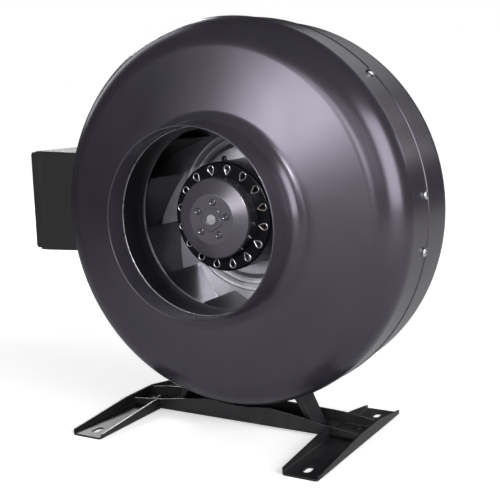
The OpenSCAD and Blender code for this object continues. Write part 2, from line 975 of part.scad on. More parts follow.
// The hub that ties cap, can and shaft together
module shaft_bush() {
    color(iron_color)
        difference() {
            union() {
                ring(shaft_r, 18, disc_y + 1.55, disc_y + 7);
                ring(shaft_r, 9, disc_y + 6.9, nose_y + can_t + 2.5);
                ring(8.9, 30, nose_y + can_t + 0.05, nose_y + can_t + 2.5);
            }
            for (i = [0:hub_rivet_count - 1])
                radial(hub_rivet_phase + i * 360 / hub_rivet_count)
                    translate([hub_rivet_pcr, 0, 0])
                        rod_y(hub_hole_r, disc_y, disc_y + 12);
        }
}

module rotor_core() {
    color(iron_color)
        ring(rotor_bore_r, can_r - can_t - 0.02, core_y0, core_y1);
}

module rotor_end_rings() {
    color("silver") {
        ring(rotor_bore_r + 0.3, can_r - can_t - 0.3, core_y0 - 3, core_y0 - contact_gap);
        ring(rotor_bore_r + 0.3, can_r - can_t - 0.3, core_y1 + contact_gap, core_y1 + 3);
    }
}

module retaining_ring() {
    color("silver")
        ring(shaft_r + 0.01, shaft_r + 2.5, rear_bearing_y + bearing_w + 0.4,
             rear_bearing_y + bearing_w + 1.4);
}

// Front side of the back plate: a raised ring round the can, then two ridges
function plate_front() =
    let (rings = [62, 68])
    concat(
        [[can_r + 0.05, plate_y - plate_step_h - plate_t], [plate_step_r, plate_y - plate_step_h - plate_t],
         [plate_step_r + 4, plate_y - plate_t]],
        [for (r = rings) each [[r - 1.2, plate_y - plate_t], [r, plate_y - plate_t - 0.7],
                               [r + 1.2, plate_y - plate_t]]],
        [[impeller_r, plate_y - plate_t]]);

module back_plate() {
    color(blade_color)
        difference() {
            lathe(concat(plate_front(), [[impeller_r, plate_y], [plate_step_r + 3.6, plate_y],
                                         [plate_step_r, plate_y - plate_step_h],
                                         [can_r + 0.05, plate_y - plate_step_h]]));
            for (i = [0:plate_rivet_count - 1])
                radial(i * 360 / plate_rivet_count)
                    translate([plate_rivet_pcr, 0, 0])
                        rod_y(plate_hole_r, plate_y - 8, plate_y + 8);
        }
}

module plate_rivets() {
    head_y = plate_y - plate_step_h - plate_t;
    color(zinc_color)
        for (i = [0:plate_rivet_count - 1])
            radial(i * 360 / plate_rivet_count)
                translate([plate_rivet_pcr, 0, 0]) {
                    rod_y(plate_hole_r - 0.05, head_y - 0.1, plate_y - plate_step_h + 1.2);
                    rod_y(plate_rivet_r, head_y - 1, head_y - contact_gap);
                }
}

module shroud_ring() {
    color(blade_color)
        lathe(concat(shroud_side(0), reversed(shroud_side(-shroud_t))));
}

// How far round the axis a blade reaches from its leading edge to a radius
function blade_sweep(r) =
    let (d = norm(blade_center), arc_r = blade_arc_r)
    acos((eye_r * eye_r + d * d - arc_r * arc_r) / (2 * eye_r * d))
    - acos((r * r + d * d - arc_r * arc_r) / (2 * r * d));

// Small weight clipped on the shroud's rim, midway between two blades
module balance_clip() {
    front = shroud_side(contact_gap);
    flow = shroud_side(-shroud_t - contact_gap);
    front_rim = front[len(front) - 1];
    flow_rim = flow[len(flow) - 1];
    reach = 7;
    drop = reach * tan(90 - shroud_bend_angle);
    clip_t = 1;
    color(zinc_color)
        radial(blade_phase + blade_sweep(impeller_r) + 6.5 * blade_pitch)
            intersection() {
                translate([impeller_r - reach, shroud_y0, -4])
                    cube([reach + clip_t + 0.1, 60, 8]);
                lathe([[impeller_r - reach, front_rim[1] - drop - clip_t],
                       [impeller_r + clip_t, front_rim[1] - clip_t],
                       [impeller_r + clip_t, flow_rim[1] + clip_t],
                       [impeller_r - reach, flow_rim[1] - drop + clip_t],
                       [impeller_r - reach, flow_rim[1] - drop],
                       [impeller_r + contact_gap, flow_rim[1] + contact_gap],
                       [impeller_r + contact_gap, front_rim[1]],
                       [impeller_r - reach, front_rim[1] - drop]]);
            }
}

// Flow space between shroud and back plate, which the blades fill
module blade_space() {
    flow_side = shroud_side(-shroud_t - contact_gap);
    bend_r = shroud_bend_r + shroud_t + contact_gap;
    edge_y = shroud_bend_y + sqrt(bend_r * bend_r - shroud_bend_r * shroud_bend_r);
    tip = flow_side[len(flow_side) - 1];
    tip_r = impeller_r - 0.5;
    back_y = plate_y - plate_t - contact_gap;
    lathe(concat([[eye_r, edge_y]],
                 [for (p = flow_side) if (p[0] > eye_r && p[0] < tip_r) p],
                 [[tip_r, tip[1]], [tip_r, back_y], [eye_r, back_y]]));
}

module blade(index) {
    color(blade_color)
        radial(blade_phase + (index - 1) * blade_pitch)
            intersection() {
                slab(shroud_bend_y, plate_y)
                    intersection() {
                        difference() {
                            translate(blade_center) circle(r = blade_arc_r, $fn = 192);
                            translate(blade_center) circle(r = blade_arc_r - blade_t, $fn = 192);
                        }
                        polygon([[60, -1.5], [130, -1.5], [130, 130], [20, 130], [40, 40]]);
                    }
                blade_space();
            }
}

front_shell();
rear_shell();
inlet_nozzle();
rim_screws();
rivet_nuts();
motor_support();
support_screws();
motor_screws();
stator_base();
stator_core();
stator_insulators();
stator_windings();
front_bearing();
rear_bearing();
bearing_washer();
motor_lead();
lead_grommet();
box_body();
box_gasket();
box_lid();
lid_screws();
box_screws();
terminal_block();
terminal_screws();
capacitor();
capacitor_clip();
gland_body();
gland_seal();
gland_nut();
cross_channel();
left_foot();
right_foot();
left_saddle();
right_saddle();
saddle_screws();
bracket_rivets();
rotor_can();
hub_cap();
hub_rivets();
rotor_shaft();
shaft_bush();
rotor_core();
rotor_end_rings();
retaining_ring();
back_plate();
plate_rivets();
shroud_ring();
balance_clip();
blade(1);  // blade_01
blade(2);  // blade_02
blade(3);  // blade_03
blade(4);  // blade_04
blade(5);  // blade_05
blade(6);  // blade_06
blade(7);  // blade_07
blade(8);  // blade_08
blade(9);  // blade_09
blade(10);  // blade_10
blade(11);  // blade_11
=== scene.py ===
"""Looks of the inline duct fan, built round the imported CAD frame.

Lengths in this script are millimetres unless a name says otherwise; the scene itself is in metres.
The duct axis is Y, air flows towards +Y, +Z is up, and the origin is the middle of the inlet's mouth.
"""
import math

import bmesh
import bpy
from mathutils import Matrix, Vector


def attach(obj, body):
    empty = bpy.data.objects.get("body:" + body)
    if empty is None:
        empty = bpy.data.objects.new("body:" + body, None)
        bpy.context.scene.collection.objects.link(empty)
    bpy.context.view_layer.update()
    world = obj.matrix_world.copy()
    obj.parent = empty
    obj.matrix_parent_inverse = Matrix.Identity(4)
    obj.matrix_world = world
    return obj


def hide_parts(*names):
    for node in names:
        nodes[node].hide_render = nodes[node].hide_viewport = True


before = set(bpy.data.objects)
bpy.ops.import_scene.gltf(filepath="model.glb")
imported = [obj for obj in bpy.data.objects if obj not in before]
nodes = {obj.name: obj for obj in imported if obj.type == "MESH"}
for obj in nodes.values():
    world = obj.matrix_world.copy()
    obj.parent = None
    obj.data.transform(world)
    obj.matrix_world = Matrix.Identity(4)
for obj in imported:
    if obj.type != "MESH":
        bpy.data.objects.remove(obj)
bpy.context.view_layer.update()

MM = 0.001
SMOOTH_ANGLE = math.radians(38)
FOLD_ANGLE = math.radians(12)
FLAT_ANGLE = math.radians(0.1)

# Housing
HOUSING_R = 155
REAR_R = 153.6
COLLAR_R = 74
TOTAL_LEN = 195
SHOULDER_Y = 63
SHOULDER_R = 26
FILLET_R = 11
FACE_SLOPE = math.radians(4)
SHEET = 1.2
SHEET_ROUND = 0.5
SEAM_Y = 94.5
# The front shell's open edge steps out by SEAM_LIP, between these two distances from its end
SEAM_LIP = 0.5
SEAM_LIP_FOOT = 2.2
SEAM_LIP_TOP = 1.6
REAR_EDGE_Y = 80
NOZZLE_Y = 18.5
NOZZLE_THROAT = 70.2
NOZZLE_FLARE = 0.9
NOZZLE_TAPER_Y = (24, 36)
NOZZLE_BEAD_R = 0.38
RIM_SCREW_Y = 87
RIM_SCREW_ANGLES = (44, 136, 6.5, -9.3)
BOX_SCREW_ANGLES = (173.5, 190)
SADDLE_SCREW_ANGLES = (-75, -105)
BOX_SCREW_SEAT_R = 161

# Screws: head radius, head height, shank radius, shank length
RIM_SCREW = (3.7, 2.3, 2, 8)
SUPPORT_SCREW = (3.7, 2.3, 2, 9)
LID_SCREW = (2.9, 1.6, 1.7, 18)
THREAD_PITCH = 0.8

# Impeller
IMPELLER_R = 110
EYE_R = 73.4
BLADES = 11
BLADE_ARC_R = 163
BLADE_INLET = math.radians(17)
BLADE_PHASE = 189
BLADE_T = 1.2
PLATE_Y = 101
PLATE_T = 1.2
PLATE_STEP_R = 54
PLATE_STEP_H = 2.4
PLATE_RIDGES = (62, 68)
RIDGE_H = 0.55
RIDGE_FOOT = 1.3
RIDGE_TOP = 0.5
SHROUD_Y = 34
SHROUD_BEND_Y = 44
SHROUD_BEND_R = 14
SHROUD_ANGLE = math.radians(65)
SHROUD_T = 1

# Motor
CAN_R = 43.5
CAN_WALL = 1.2
CAN_ROUND = 2
CAN_FLANGE_R = 53
NOSE_Y = 51
NOSE_R = 41.2
NOSE_HOLE_R = 26
CAP_R = 31.9
CAP_RIM_Y = 39.2
DISC_R = 19.5
DISC_Y = 35.2
CAP_WALL = 1.5
SHAFT_HOLE_R = 4.05
BOSS_R = 9.1
BOSS_LOBE = 0.8
BOSS_H = 0.85
VENTS = 16
VENT_PCR = 38.6
VENT_R = 2.35
VENT_TIP = 4.9
VENT_TURN = 2
VENT_RIM = 1.12
VENT_BEAD_R = 0.36
HUB_RIVETS = 5
HUB_RIVET_PCR = 13.4
HUB_RIVET_PHASE = 82
PLATE_RIVETS = 6
PLATE_RIVET_PCR = 48.5
BASE_Y = 109
SUPPORT_T = 2
SUPPORT_R = 50
SUPPORT_BORE_R = 13
ARM_ANGLES = (45, 135, 225, 315)
ARM_PAD = (90, 106)
ARM_WIDTH = 22
MOTOR_SCREW_PCR = 36

# Junction box
BOX_Y = (68, 130)
BOX_MID_Z = 5
BOX_HALF = 45
BOX_REACH = 212.5
BOX_BACK_X = -140
BOX_FLOOR_X = -159.5
BOX_CORNER_R = 1.6
LID_T = 12.5
LID_STEP = 5
GASKET_T = 0.8
BOX_WALL = 2.5
BOX_DRAFT = 2
LID_SCREW_INSET = 6
GLAND_X = -183
GLAND_BORE = 6
GLAND_R = 8
GLAND_HEX_R = 12

# Foot bracket
GROUND_Z = -175.5
BRACKET_T = 1.6
BEND_R = 2.6
FOOT_X = (81, 112)
FOOT_CORNER_R = 4.2
FOOT_Y = (-13, 145.5)
WALL_LOW = 4.6
WALL_HIGH = 10.6
CHANNEL_Y = (66.6, 98.6)
CHANNEL_HALF = 108.5
# Heights of the channel's two walls: (distance from its middle, height)
FRONT_WALL = ((CHANNEL_HALF, 6.6), (80, 9.2), (52, 13.4), (30, 16.2), (20, 15.4), (10, 14.4), (0, 14))
BACK_WALL = ((CHANNEL_HALF, 8.4), (90, 10.8), (72, 11.8), (30, 12.8), (0, 12.4))
SLOT_INSET = 14.5
SLOT_W = 6
SLOT_L = 12
SADDLE_T = 2
SADDLE_W = 20
SADDLE_PAD_X = (65, 80)
SADDLE_BEND_X = 67.2
SADDLE_KNEE = (55.4, -146)
SADDLE_ARC = (-80.5, -69.5)


# Mesh helpers ---------------------------------------------------------------


def rounded(points, radius, steps=4):
    """Closed outline with its corners rounded. radius is one number, or one for each corner."""
    out = []
    count = len(points)
    for i, point in enumerate(points):
        p = Vector(point)
        to_last = Vector(points[i - 1]) - p
        to_next = Vector(points[(i + 1) % count]) - p
        r = radius[i] if isinstance(radius, (list, tuple)) else radius
        half = to_last.angle(to_next) / 2
        if r <= 0 or half > math.radians(86):
            out.append(tuple(p))
            continue
        reach = min(r / math.tan(half), 0.49 * to_last.length, 0.49 * to_next.length)
        r = reach * math.tan(half)
        middle = p + (to_last.normalized() + to_next.normalized()).normalized() * (r / math.sin(half))
        start = p + to_last.normalized() * reach - middle
        end = p + to_next.normalized() * reach - middle
        for k in range(steps + 1):
            share = k / steps
            spoke = start.slerp(end, share)
            out.append(tuple(middle + spoke.normalized() * r))
    return out


def arc(cx, cy, r, start, end, steps=16):
    """Points of an arc, its angles in degrees."""
    out = []
    for k in range(steps + 1):
        a = math.radians(start + (end - start) * k / steps)
        out.append((cx + r * math.cos(a), cy + r * math.sin(a)))
    return out


def add_object(name, mesh):
    thing = bpy.data.objects.new(name, mesh)
    bpy.context.scene.collection.objects.link(thing)
    return thing


def shade(mesh):
    """Smooth shading, but sharp at real edges and where a flat face ends at a fold."""
    bm = bmesh.new()
    bm.from_mesh(mesh)
    flat = {face for face in bm.faces if len(face.verts) > 4}
    folds = []
    for face in bm.faces:
        face.smooth = True
    for edge in bm.edges:
        edge.smooth = True
        if len(edge.link_faces) != 2:
            continue
        turn = edge.calc_face_angle(0)
        if turn < FLAT_ANGLE:
            flat.update(edge.link_faces)
        elif turn > FOLD_ANGLE:
            folds.append((edge, turn))
    for edge, turn in folds:
        one, other = edge.link_faces
        if turn > SMOOTH_ANGLE or (one in flat) != (other in flat):
            edge.smooth = False
    bm.to_mesh(mesh)
    bm.free()


def from_bmesh(name, bm):
    """A tidy, smooth-shaded object from bm, whose lengths are millimetres."""
    bmesh.ops.remove_doubles(bm, verts=bm.verts, dist=0.002)
    bmesh.ops.dissolve_degenerate(bm, edges=bm.edges, dist=0.001)
    bmesh.ops.recalc_face_normals(bm, faces=bm.faces)
    bmesh.ops.scale(bm, vec=(MM, MM, MM), verts=bm.verts)
    mesh = bpy.data.meshes.new(name)
    bm.to_mesh(mesh)
    bm.free()
    shade(mesh)
    return add_object(name, mesh)


def skin_rows(bm, rows, close_ring=True):
    """Faces between rows of vertices. Each row is a closed loop, and the last row may meet the first."""
    count = len(rows)
    across = len(rows[0])
    for i in range(count if close_ring else count - 1):
        for j in range(across):
            a = rows[i][j]
            b = rows[i][(j + 1) % across]
            c = rows[(i + 1) % count][(j + 1) % across]
            d = rows[(i + 1) % count][j]
            bm.faces.new((a, b, c, d))


def turned(name, outline, turns=192):
    """A closed (radius, y) outline turned round the duct axis."""
    bm = bmesh.new()
    rows = []
    for i in range(turns):
        a = 2 * math.pi * i / turns
        rows.append([bm.verts.new((r * math.cos(a), y, r * math.sin(a))) for r, y in outline])
    skin_rows(bm, rows)
    return from_bmesh(name, bm)


def flat_plate(name, loops, start, end, bevel=0.3, steps=2):
    """Closed (x, z) loops, the later ones holes, drawn along Y from start to end."""
    curve = bpy.data.curves.new(name, "CURVE")
    curve.dimensions = "2D"
    curve.fill_mode = "BOTH"
    curve.extrude = ((end - start) / 2 - bevel) * MM
    curve.bevel_depth = bevel * MM
    curve.bevel_resolution = steps
    curve.offset = -bevel * MM
    for loop in loops:
        spline = curve.splines.new("POLY")
        spline.points.add(len(loop) - 1)
        spline.use_cyclic_u = True
        for point, (x, z) in zip(spline.points, loop):
            point.co = (x * MM, z * MM, 0, 1)
    shape = bpy.data.objects.new(name, curve)
    bpy.context.scene.collection.objects.link(shape)
    bpy.context.view_layer.update()
    mesh = bpy.data.meshes.new_from_object(shape.evaluated_get(bpy.context.evaluated_depsgraph_get()))
    bpy.data.objects.remove(shape)
    bpy.data.curves.remove(curve)
    bm = bmesh.new()
    bm.from_mesh(mesh)
    bpy.data.meshes.remove(mesh)
    bmesh.ops.scale(bm, vec=(1 / MM, 1 / MM, 1 / MM), verts=bm.verts)
    upright = Matrix.Translation((0, (start + end) / 2, 0)) @ Matrix.Rotation(math.pi / 2, 4, "X")
    bmesh.ops.transform(bm, matrix=upright, verts=bm.verts)
    return from_bmesh(name, bm)


def place(thing, matrix):
    """Moves a mesh by a matrix whose lengths are millimetres."""
    scaled = matrix.copy()
    scaled.translation = matrix.translation * MM
    thing.data.transform(scaled)
    thing.data.update()
    return thing


def mirrored(thing):
    """Swaps a mesh's left and right and turns it right side out again."""
    place(thing, Matrix.Diagonal((-1, 1, 1, 1)))
    thing.data.flip_normals()
    return thing


def round_axis(angle, y=0):
    """Turns +X to an angle round the duct axis, in degrees."""
    return Matrix.Translation((0, y, 0)) @ Matrix.Rotation(-math.radians(angle), 4, "Y")


def apply_modifiers(thing, shaded=True):
    """Makes the modifiers' result the mesh itself, with its edges shaded anew if shaded is true."""
    bpy.context.view_layer.update()
    graph = bpy.context.evaluated_depsgraph_get()
    made = bpy.data.meshes.new_from_object(thing.evaluated_get(graph))
    thing.modifiers.clear()
    old = thing.data
    thing.data = made
    bpy.data.meshes.remove(old)
    if shaded:
        shade(made)
    return thing


def level(thing):
    """Keeps the shading of a wide face flat right up to its rounded edges."""
    step = thing.modifiers.new("level", "WEIGHTED_NORMAL")
    step.mode = "FACE_AREA"
    step.keep_sharp = True
    return apply_modifiers(thing, shaded=False)


def cut(thing, cutter, operation="DIFFERENCE"):
    """Cuts one solid with another, which is used up."""
    step = thing.modifiers.new("cut", "BOOLEAN")
    step.object = cutter
    step.operation = operation
    step.solver = "EXACT"
    apply_modifiers(thing)
    bpy.data.objects.remove(cutter)
    return thing


def bevelled(thing, width, steps=3, angle=40):
    """Rounds every edge sharper than angle."""
    step = thing.modifiers.new("rim", "BEVEL")
    step.width = width * MM
    step.segments = steps
    step.limit_method = "ANGLE"
    step.angle_limit = math.radians(angle)
    step.use_clamp_overlap = True
    return apply_modifiers(thing)


def joined(name, things):
    """One object from several, each kept as its own closed shell."""
    bm = bmesh.new()
    for thing in things:
        bm.from_mesh(thing.data)
        bpy.data.objects.remove(thing)
    mesh = bpy.data.meshes.new(name)
    bm.to_mesh(mesh)
    bm.free()
    shade(mesh)
    return add_object(name, mesh)


def copy_of(thing):
    twin = thing.copy()
    twin.data = thing.data.copy()
    bpy.context.scene.collection.objects.link(twin)
    return twin


def circle(r, cx=0, cz=0, count=64):
    return arc(cx, cz, r, 0, 360 - 360 / count, count - 1)


def block(x0, x1, y0, y1, z0, z1):
    """A plain cutter."""
    bm = bmesh.new()
    bmesh.ops.create_cube(bm, size=1)
    bmesh.ops.scale(bm, vec=(x1 - x0, y1 - y0, z1 - z0), verts=bm.verts)
    bmesh.ops.translate(bm, vec=((x0 + x1) / 2, (y0 + y1) / 2, (z0 + z1) / 2), verts=bm.verts)
    return from_bmesh("cutter", bm)


def settle(thing, body, slot, material, *replaced):
    """Gives a finished piece levelled shading, its material and its body, and hides the CAD nodes that it
    stands for. slot is not used.
    """
    level(thing)
    thing.data.materials.clear()
    thing.data.materials.append(material)
    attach(thing, body)
    if replaced:
        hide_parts(*replaced)
    return thing


# Materials --------------------------------------------------------------------


def finish(name, colour, roughness, metallic=0.0, coat=0.0, coat_roughness=0.2,
           tone_scale=40.0, tone=0.12, rough_spread=0.06,
           grain_scale=900.0, grain_depth=0.02, stretch=(1, 1, 1), specular=0.5):
    """A painted, plated or moulded surface: colour and roughness vary a little, with a fine grain."""
    material = bpy.data.materials.new(name)
    material.use_nodes = True
    tree = material.node_tree
    tree.nodes.clear()
    link = tree.links.new
    output = tree.nodes.new("ShaderNodeOutputMaterial")
    shader = tree.nodes.new("ShaderNodeBsdfPrincipled")
    shader.inputs["Metallic"].default_value = metallic
    shader.inputs["Specular IOR Level"].default_value = specular
    shader.inputs["Coat Weight"].default_value = coat
    shader.inputs["Coat Roughness"].default_value = coat_roughness
    link(shader.outputs["BSDF"], output.inputs["Surface"])

    place_node = tree.nodes.new("ShaderNodeTexCoord")
    mapping = tree.nodes.new("ShaderNodeMapping")
    mapping.inputs["Scale"].default_value = stretch
    link(place_node.outputs["Object"], mapping.inputs["Vector"])

    clouds = tree.nodes.new("ShaderNodeTexNoise")
    clouds.inputs["Scale"].default_value = tone_scale
    clouds.inputs["Detail"].default_value = 5
    clouds.inputs["Roughness"].default_value = 0.6
    link(mapping.outputs["Vector"], clouds.inputs["Vector"])

    ramp = tree.nodes.new("ShaderNodeValToRGB")
    ramp.color_ramp.elements[0].position = 0.3
    ramp.color_ramp.elements[1].position = 0.7
    ramp.color_ramp.elements[0].color = (*[c * (1 - tone) for c in colour], 1)
    ramp.color_ramp.elements[1].color = (*[min(1, c * (1 + tone)) for c in colour], 1)
    link(clouds.outputs["Fac"], ramp.inputs["Fac"])
    link(ramp.outputs["Color"], shader.inputs["Base Color"])

    spread = tree.nodes.new("ShaderNodeMapRange")
    spread.inputs["From Min"].default_value = 0.3
    spread.inputs["From Max"].default_value = 0.7
    spread.inputs["To Min"].default_value = roughness - rough_spread
    spread.inputs["To Max"].default_value = roughness + rough_spread
    link(clouds.outputs["Fac"], spread.inputs["Value"])
    link(spread.outputs["Result"], shader.inputs["Roughness"])

    grain = tree.nodes.new("ShaderNodeTexNoise")
    grain.inputs["Scale"].default_value = grain_scale
    grain.inputs["Detail"].default_value = 2
    link(mapping.outputs["Vector"], grain.inputs["Vector"])
    bump = tree.nodes.new("ShaderNodeBump")
    bump.inputs["Strength"].default_value = 1
    bump.inputs["Distance"].default_value = grain_depth * MM
    link(grain.outputs["Fac"], bump.inputs["Height"])
    link(bump.outputs["Normal"], shader.inputs["Normal"])
    return material


PAINT = finish("charcoal powder coat", (0.072, 0.065, 0.084), 0.25, metallic=0.6,
               tone_scale=25, tone=0.06, rough_spread=0.02, grain_scale=700, grain_depth=0.008)
BLACK_PAINT = finish("satin black paint", (0.026, 0.025, 0.028), 0.32, metallic=0.35, coat=0.1,
                     tone_scale=60, tone=0.2, rough_spread=0.05, grain_scale=800, grain_depth=0.02)
# Near black with a weak reflection: the nozzle's dark paint, darkened further as painted shade for the
# shadowed inside of the inlet
NOZZLE_SHADE_PAINT = finish("black nozzle paint with painted shade", (0.006, 0.006, 0.007), 0.3, specular=0.2,
                      tone_scale=60, tone=0.15, rough_spread=0.03, grain_scale=800, grain_depth=0.01)
SHEET_PAINT = finish("impeller coating", (0.018, 0.0175, 0.02), 0.3, metallic=0.55, coat=0.1,
                     tone_scale=60, tone=0.1, rough_spread=0.012, grain_scale=700, grain_depth=0.01)
# Lighter and far more metallic than the blades' coating, which shares its slot: a painted sheen for the
# bright reflections of the back plate
PLATE_SHEEN_COAT = finish("back plate with painted sheen", (0.62, 0.60, 0.67), 0.32, metallic=0.85, tone_scale=60, tone=0.08,
                    rough_spread=0.03, grain_scale=900, grain_depth=0.006)
ENAMEL = finish("gloss black enamel", (0.003, 0.003, 0.004), 0.26, specular=0.06,
                tone_scale=80, tone=0.2, rough_spread=0.01, grain_scale=500, grain_depth=0.006)
# Painted highlight: a light metal for thin beads that stand in for the bright edges of black parts
EDGE_HIGHLIGHT_METAL = finish("painted edge highlight", (0.4, 0.39, 0.42), 0.3, metallic=0.8, tone_scale=300, tone=0.3,
                      rough_spread=0.05, grain_scale=900, grain_depth=0.01)
CAP_PAINT = finish("grey cap paint", (0.09, 0.085, 0.1), 0.26, metallic=0.7, tone_scale=120, tone=0.03,
                   rough_spread=0.008, grain_scale=1400, grain_depth=0.008)
PLASTIC = finish("textured black plastic", (0.01, 0.009, 0.0115), 0.5, tone_scale=150, tone=0.12,
                 rough_spread=0.05, grain_scale=1600, grain_depth=0.05)
WHITE_PLASTIC = finish("white plastic", (0.78, 0.77, 0.72), 0.42, tone_scale=80, tone=0.03, grain_depth=0.01)
ZINC = finish("bright zinc", (0.62, 0.63, 0.65), 0.26, metallic=1, tone_scale=300, tone=0.15,
              rough_spread=0.08, grain_scale=2500, grain_depth=0.01)
STEEL = finish("ground steel", (0.36, 0.355, 0.37), 0.34, metallic=1, tone_scale=200, tone=0.1,
               grain_scale=900, grain_depth=0.01, stretch=(1, 6, 1))
CAST = finish("die cast aluminium", (0.45, 0.46, 0.47), 0.42, metallic=1, tone_scale=120, tone=0.12,
              grain_scale=1200, grain_depth=0.04)
LAMINATION = finish("stacked sheet", (0.28, 0.28, 0.3), 0.4, metallic=1, tone_scale=60, tone=0.2,
                    grain_scale=300, grain_depth=0.1, stretch=(0.1, 8, 0.1))
COPPER = finish("enamelled copper", (0.62, 0.28, 0.13), 0.3, metallic=1, coat=0.6, coat_roughness=0.1,
                tone_scale=200, tone=0.25, grain_scale=900, grain_depth=0.08, stretch=(1, 0.2, 1))
BRASS = finish("brass", (0.65, 0.5, 0.25), 0.28, metallic=1, tone_scale=200, tone=0.1)
RUBBER = finish("black rubber", (0.018, 0.018, 0.018), 0.62, tone_scale=150, tone=0.2, grain_scale=1200,
                grain_depth=0.03)

CARRIED = {
    "stator_core": LAMINATION, "rotor_core": LAMINATION, "stator_insulators": WHITE_PLASTIC,
    "stator_windings": COPPER, "front_bearing": STEEL, "rear_bearing": STEEL, "bearing_washer": STEEL,
    "rotor_shaft": STEEL, "retaining_ring": STEEL, "stator_base": CAST, "shaft_bush": CAST,
    "rotor_end_rings": CAST, "motor_lead": RUBBER, "lead_grommet": RUBBER, "box_gasket": RUBBER,
    "terminal_block": WHITE_PLASTIC, "terminal_screws": BRASS, "capacitor": WHITE_PLASTIC,
    "capacitor_clip": ZINC, "rivet_nuts": ZINC, "gland_seal": RUBBER, "balance_clip": ZINC,
}
for node_name, material in CARRIED.items():
    nodes[node_name].data.materials.clear()
    nodes[node_name].data.materials.append(material)


# Housing ------------------------------------------------------------------------


def face_y(r, body_r):
    """Distance of a shell's outer face from its mouth, at radius r."""
    rise = r - body_r + SHOULDER_R - SHOULDER_R * math.sin(FACE_SLOPE)
    return SHOULDER_Y - SHOULDER_R * math.cos(FACE_SLOPE) + rise * math.tan(FACE_SLOPE)


def shell_side(body_r, skirt_end, inset):
    """A shell's section from its mouth to its open edge, inset from the outer surface."""
    fillet_r = COLLAR_R + FILLET_R
    fillet_end_r = COLLAR_R + FILLET_R * (1 - math.sin(FACE_SLOPE))
    fillet_y = face_y(fillet_end_r, body_r) - FILLET_R * math.cos(FACE_SLOPE)
    slope = math.degrees(FACE_SLOPE)
    return ([(COLLAR_R - inset, 0)]
            + arc(fillet_r, fillet_y, FILLET_R + inset, 180, 90 + slope, 20)
            + arc(body_r - SHOULDER_R, SHOULDER_Y, SHOULDER_R - inset, slope - 90, 0, 28)
            + [(body_r - inset, skirt_end)])


def shell_outline(body_r, skirt_end, lip=0.0):
    """A shell's closed outline; lip is how far its open edge steps out."""
    outer = shell_side(body_r, skirt_end, 0)
    inner = shell_side(body_r, skirt_end, SHEET)[::-1]
    if lip > 0:
        outer[-1:] = [(body_r, skirt_end - SEAM_LIP_FOOT), (body_r + lip, skirt_end - SEAM_LIP_TOP),
                      (body_r + lip, skirt_end)]
    radii = [0] * (len(outer) + len(inner))
    for rim in (0, len(outer) - 1, len(outer), len(radii) - 1):
        radii[rim] = SHEET_ROUND
    return rounded(outer + inner, radii, 5)


front = turned("front_shell_pressing", shell_outline(HOUSING_R, SEAM_Y, SEAM_LIP), 256)
settle(front, "housing", "housing_paint", PAINT, "front_shell")

rear_outline = [(r, TOTAL_LEN - y) for r, y in shell_outline(REAR_R, TOTAL_LEN - REAR_EDGE_Y)]
rear = turned("rear_shell_pressing", rear_outline, 256)
settle(rear, "housing", "housing_paint", PAINT, "rear_shell")

NOZZLE_OUT = COLLAR_R - SHEET - 0.05
taper = [k / 6 for k in range(7)]
taper_start, taper_end = NOZZLE_TAPER_Y
taper_len = taper_end - taper_start
nozzle_outline = [(NOZZLE_OUT - 1, NOZZLE_Y), (NOZZLE_OUT, NOZZLE_Y), (NOZZLE_OUT, NOZZLE_Y + 2.5)]
for t in taper:
    nozzle_outline.append((NOZZLE_THROAT + 1 + NOZZLE_FLARE * (1 - t) ** 2, taper_start + taper_len * t))
for t in taper:
    nozzle_outline.append((NOZZLE_THROAT + NOZZLE_FLARE * t ** 2, taper_end - taper_len * t))
nozzle = turned("inlet_nozzle_ring", rounded(nozzle_outline, 0.35, 3))
# The nozzle's near-black paint is partly painted shade
settle(nozzle, "housing", "housing_paint", NOZZLE_SHADE_PAINT, "inlet_nozzle")
# The light metal bead at the nozzle's front edge is a painted highlight on the black nozzle
edge_loop = circle(NOZZLE_BEAD_R, NOZZLE_OUT - 0.45, NOZZLE_Y - 0.05, 12)
settle(turned("nozzle_edge_ring", edge_loop, 224), "housing", "housing_paint", EDGE_HIGHLIGHT_METAL)


# Screws -------------------------------------------------------------------------


def screw(head_r, head_h, shank_r, shank_l):
    """Pan head screw on the Y axis, its head towards -Y and its seat at y = 0, with a cross recess."""
    dome = [(head_r, -0.25 * head_h)]
    for k in range(1, 9):
        a = math.pi / 2 * k / 8
        dome.append((head_r * (0.35 + 0.65 * math.cos(a)) if k < 8 else 0.001,
                     -head_h * (0.25 + 0.75 * math.sin(a))))
    outline = [(0.001, 0), (shank_r, 0)]
    for k in range(int(shank_l / THREAD_PITCH)):
        outline += [(shank_r, 0.1 + k * THREAD_PITCH), (shank_r * 0.86, 0.5 + k * THREAD_PITCH)]
    outline += [(shank_r, shank_l - 0.5), (shank_r * 0.6, shank_l), (0.001, shank_l)]
    head = [(0.001, 0), (head_r * 0.97, 0), (head_r, -0.08 * head_h)] + dome
    body = turned("screw_head", head, 40)
    slit_l = head_r * 0.52
    slit_w = head_r * 0.11
    for a in (0, 90):
        slit = block(-slit_l, slit_l, -2 * head_h, -0.45 * head_h, -slit_w, slit_w)
        cut(body, place(slit, Matrix.Rotation(math.radians(a), 4, "Y")))
    shank = turned("screw_shank", outline, 24)
    return joined("screw_pattern", [body, shank])


def screws(name, pattern, places, body, replaced):
    """Copies of a screw at some places, each a matrix, as one piece."""
    made = []
    for matrix in places:
        made.append(place(copy_of(pattern), matrix))
    return settle(joined(name, made), body, "zinc", ZINC, replaced)


def radial_place(angle, y, seat_r):
    """Where a screw goes whose head points away from the duct axis."""
    return round_axis(angle, y) @ Matrix.Translation((seat_r, 0, 0)) @ Matrix.Rotation(math.pi / 2, 4, "Z")


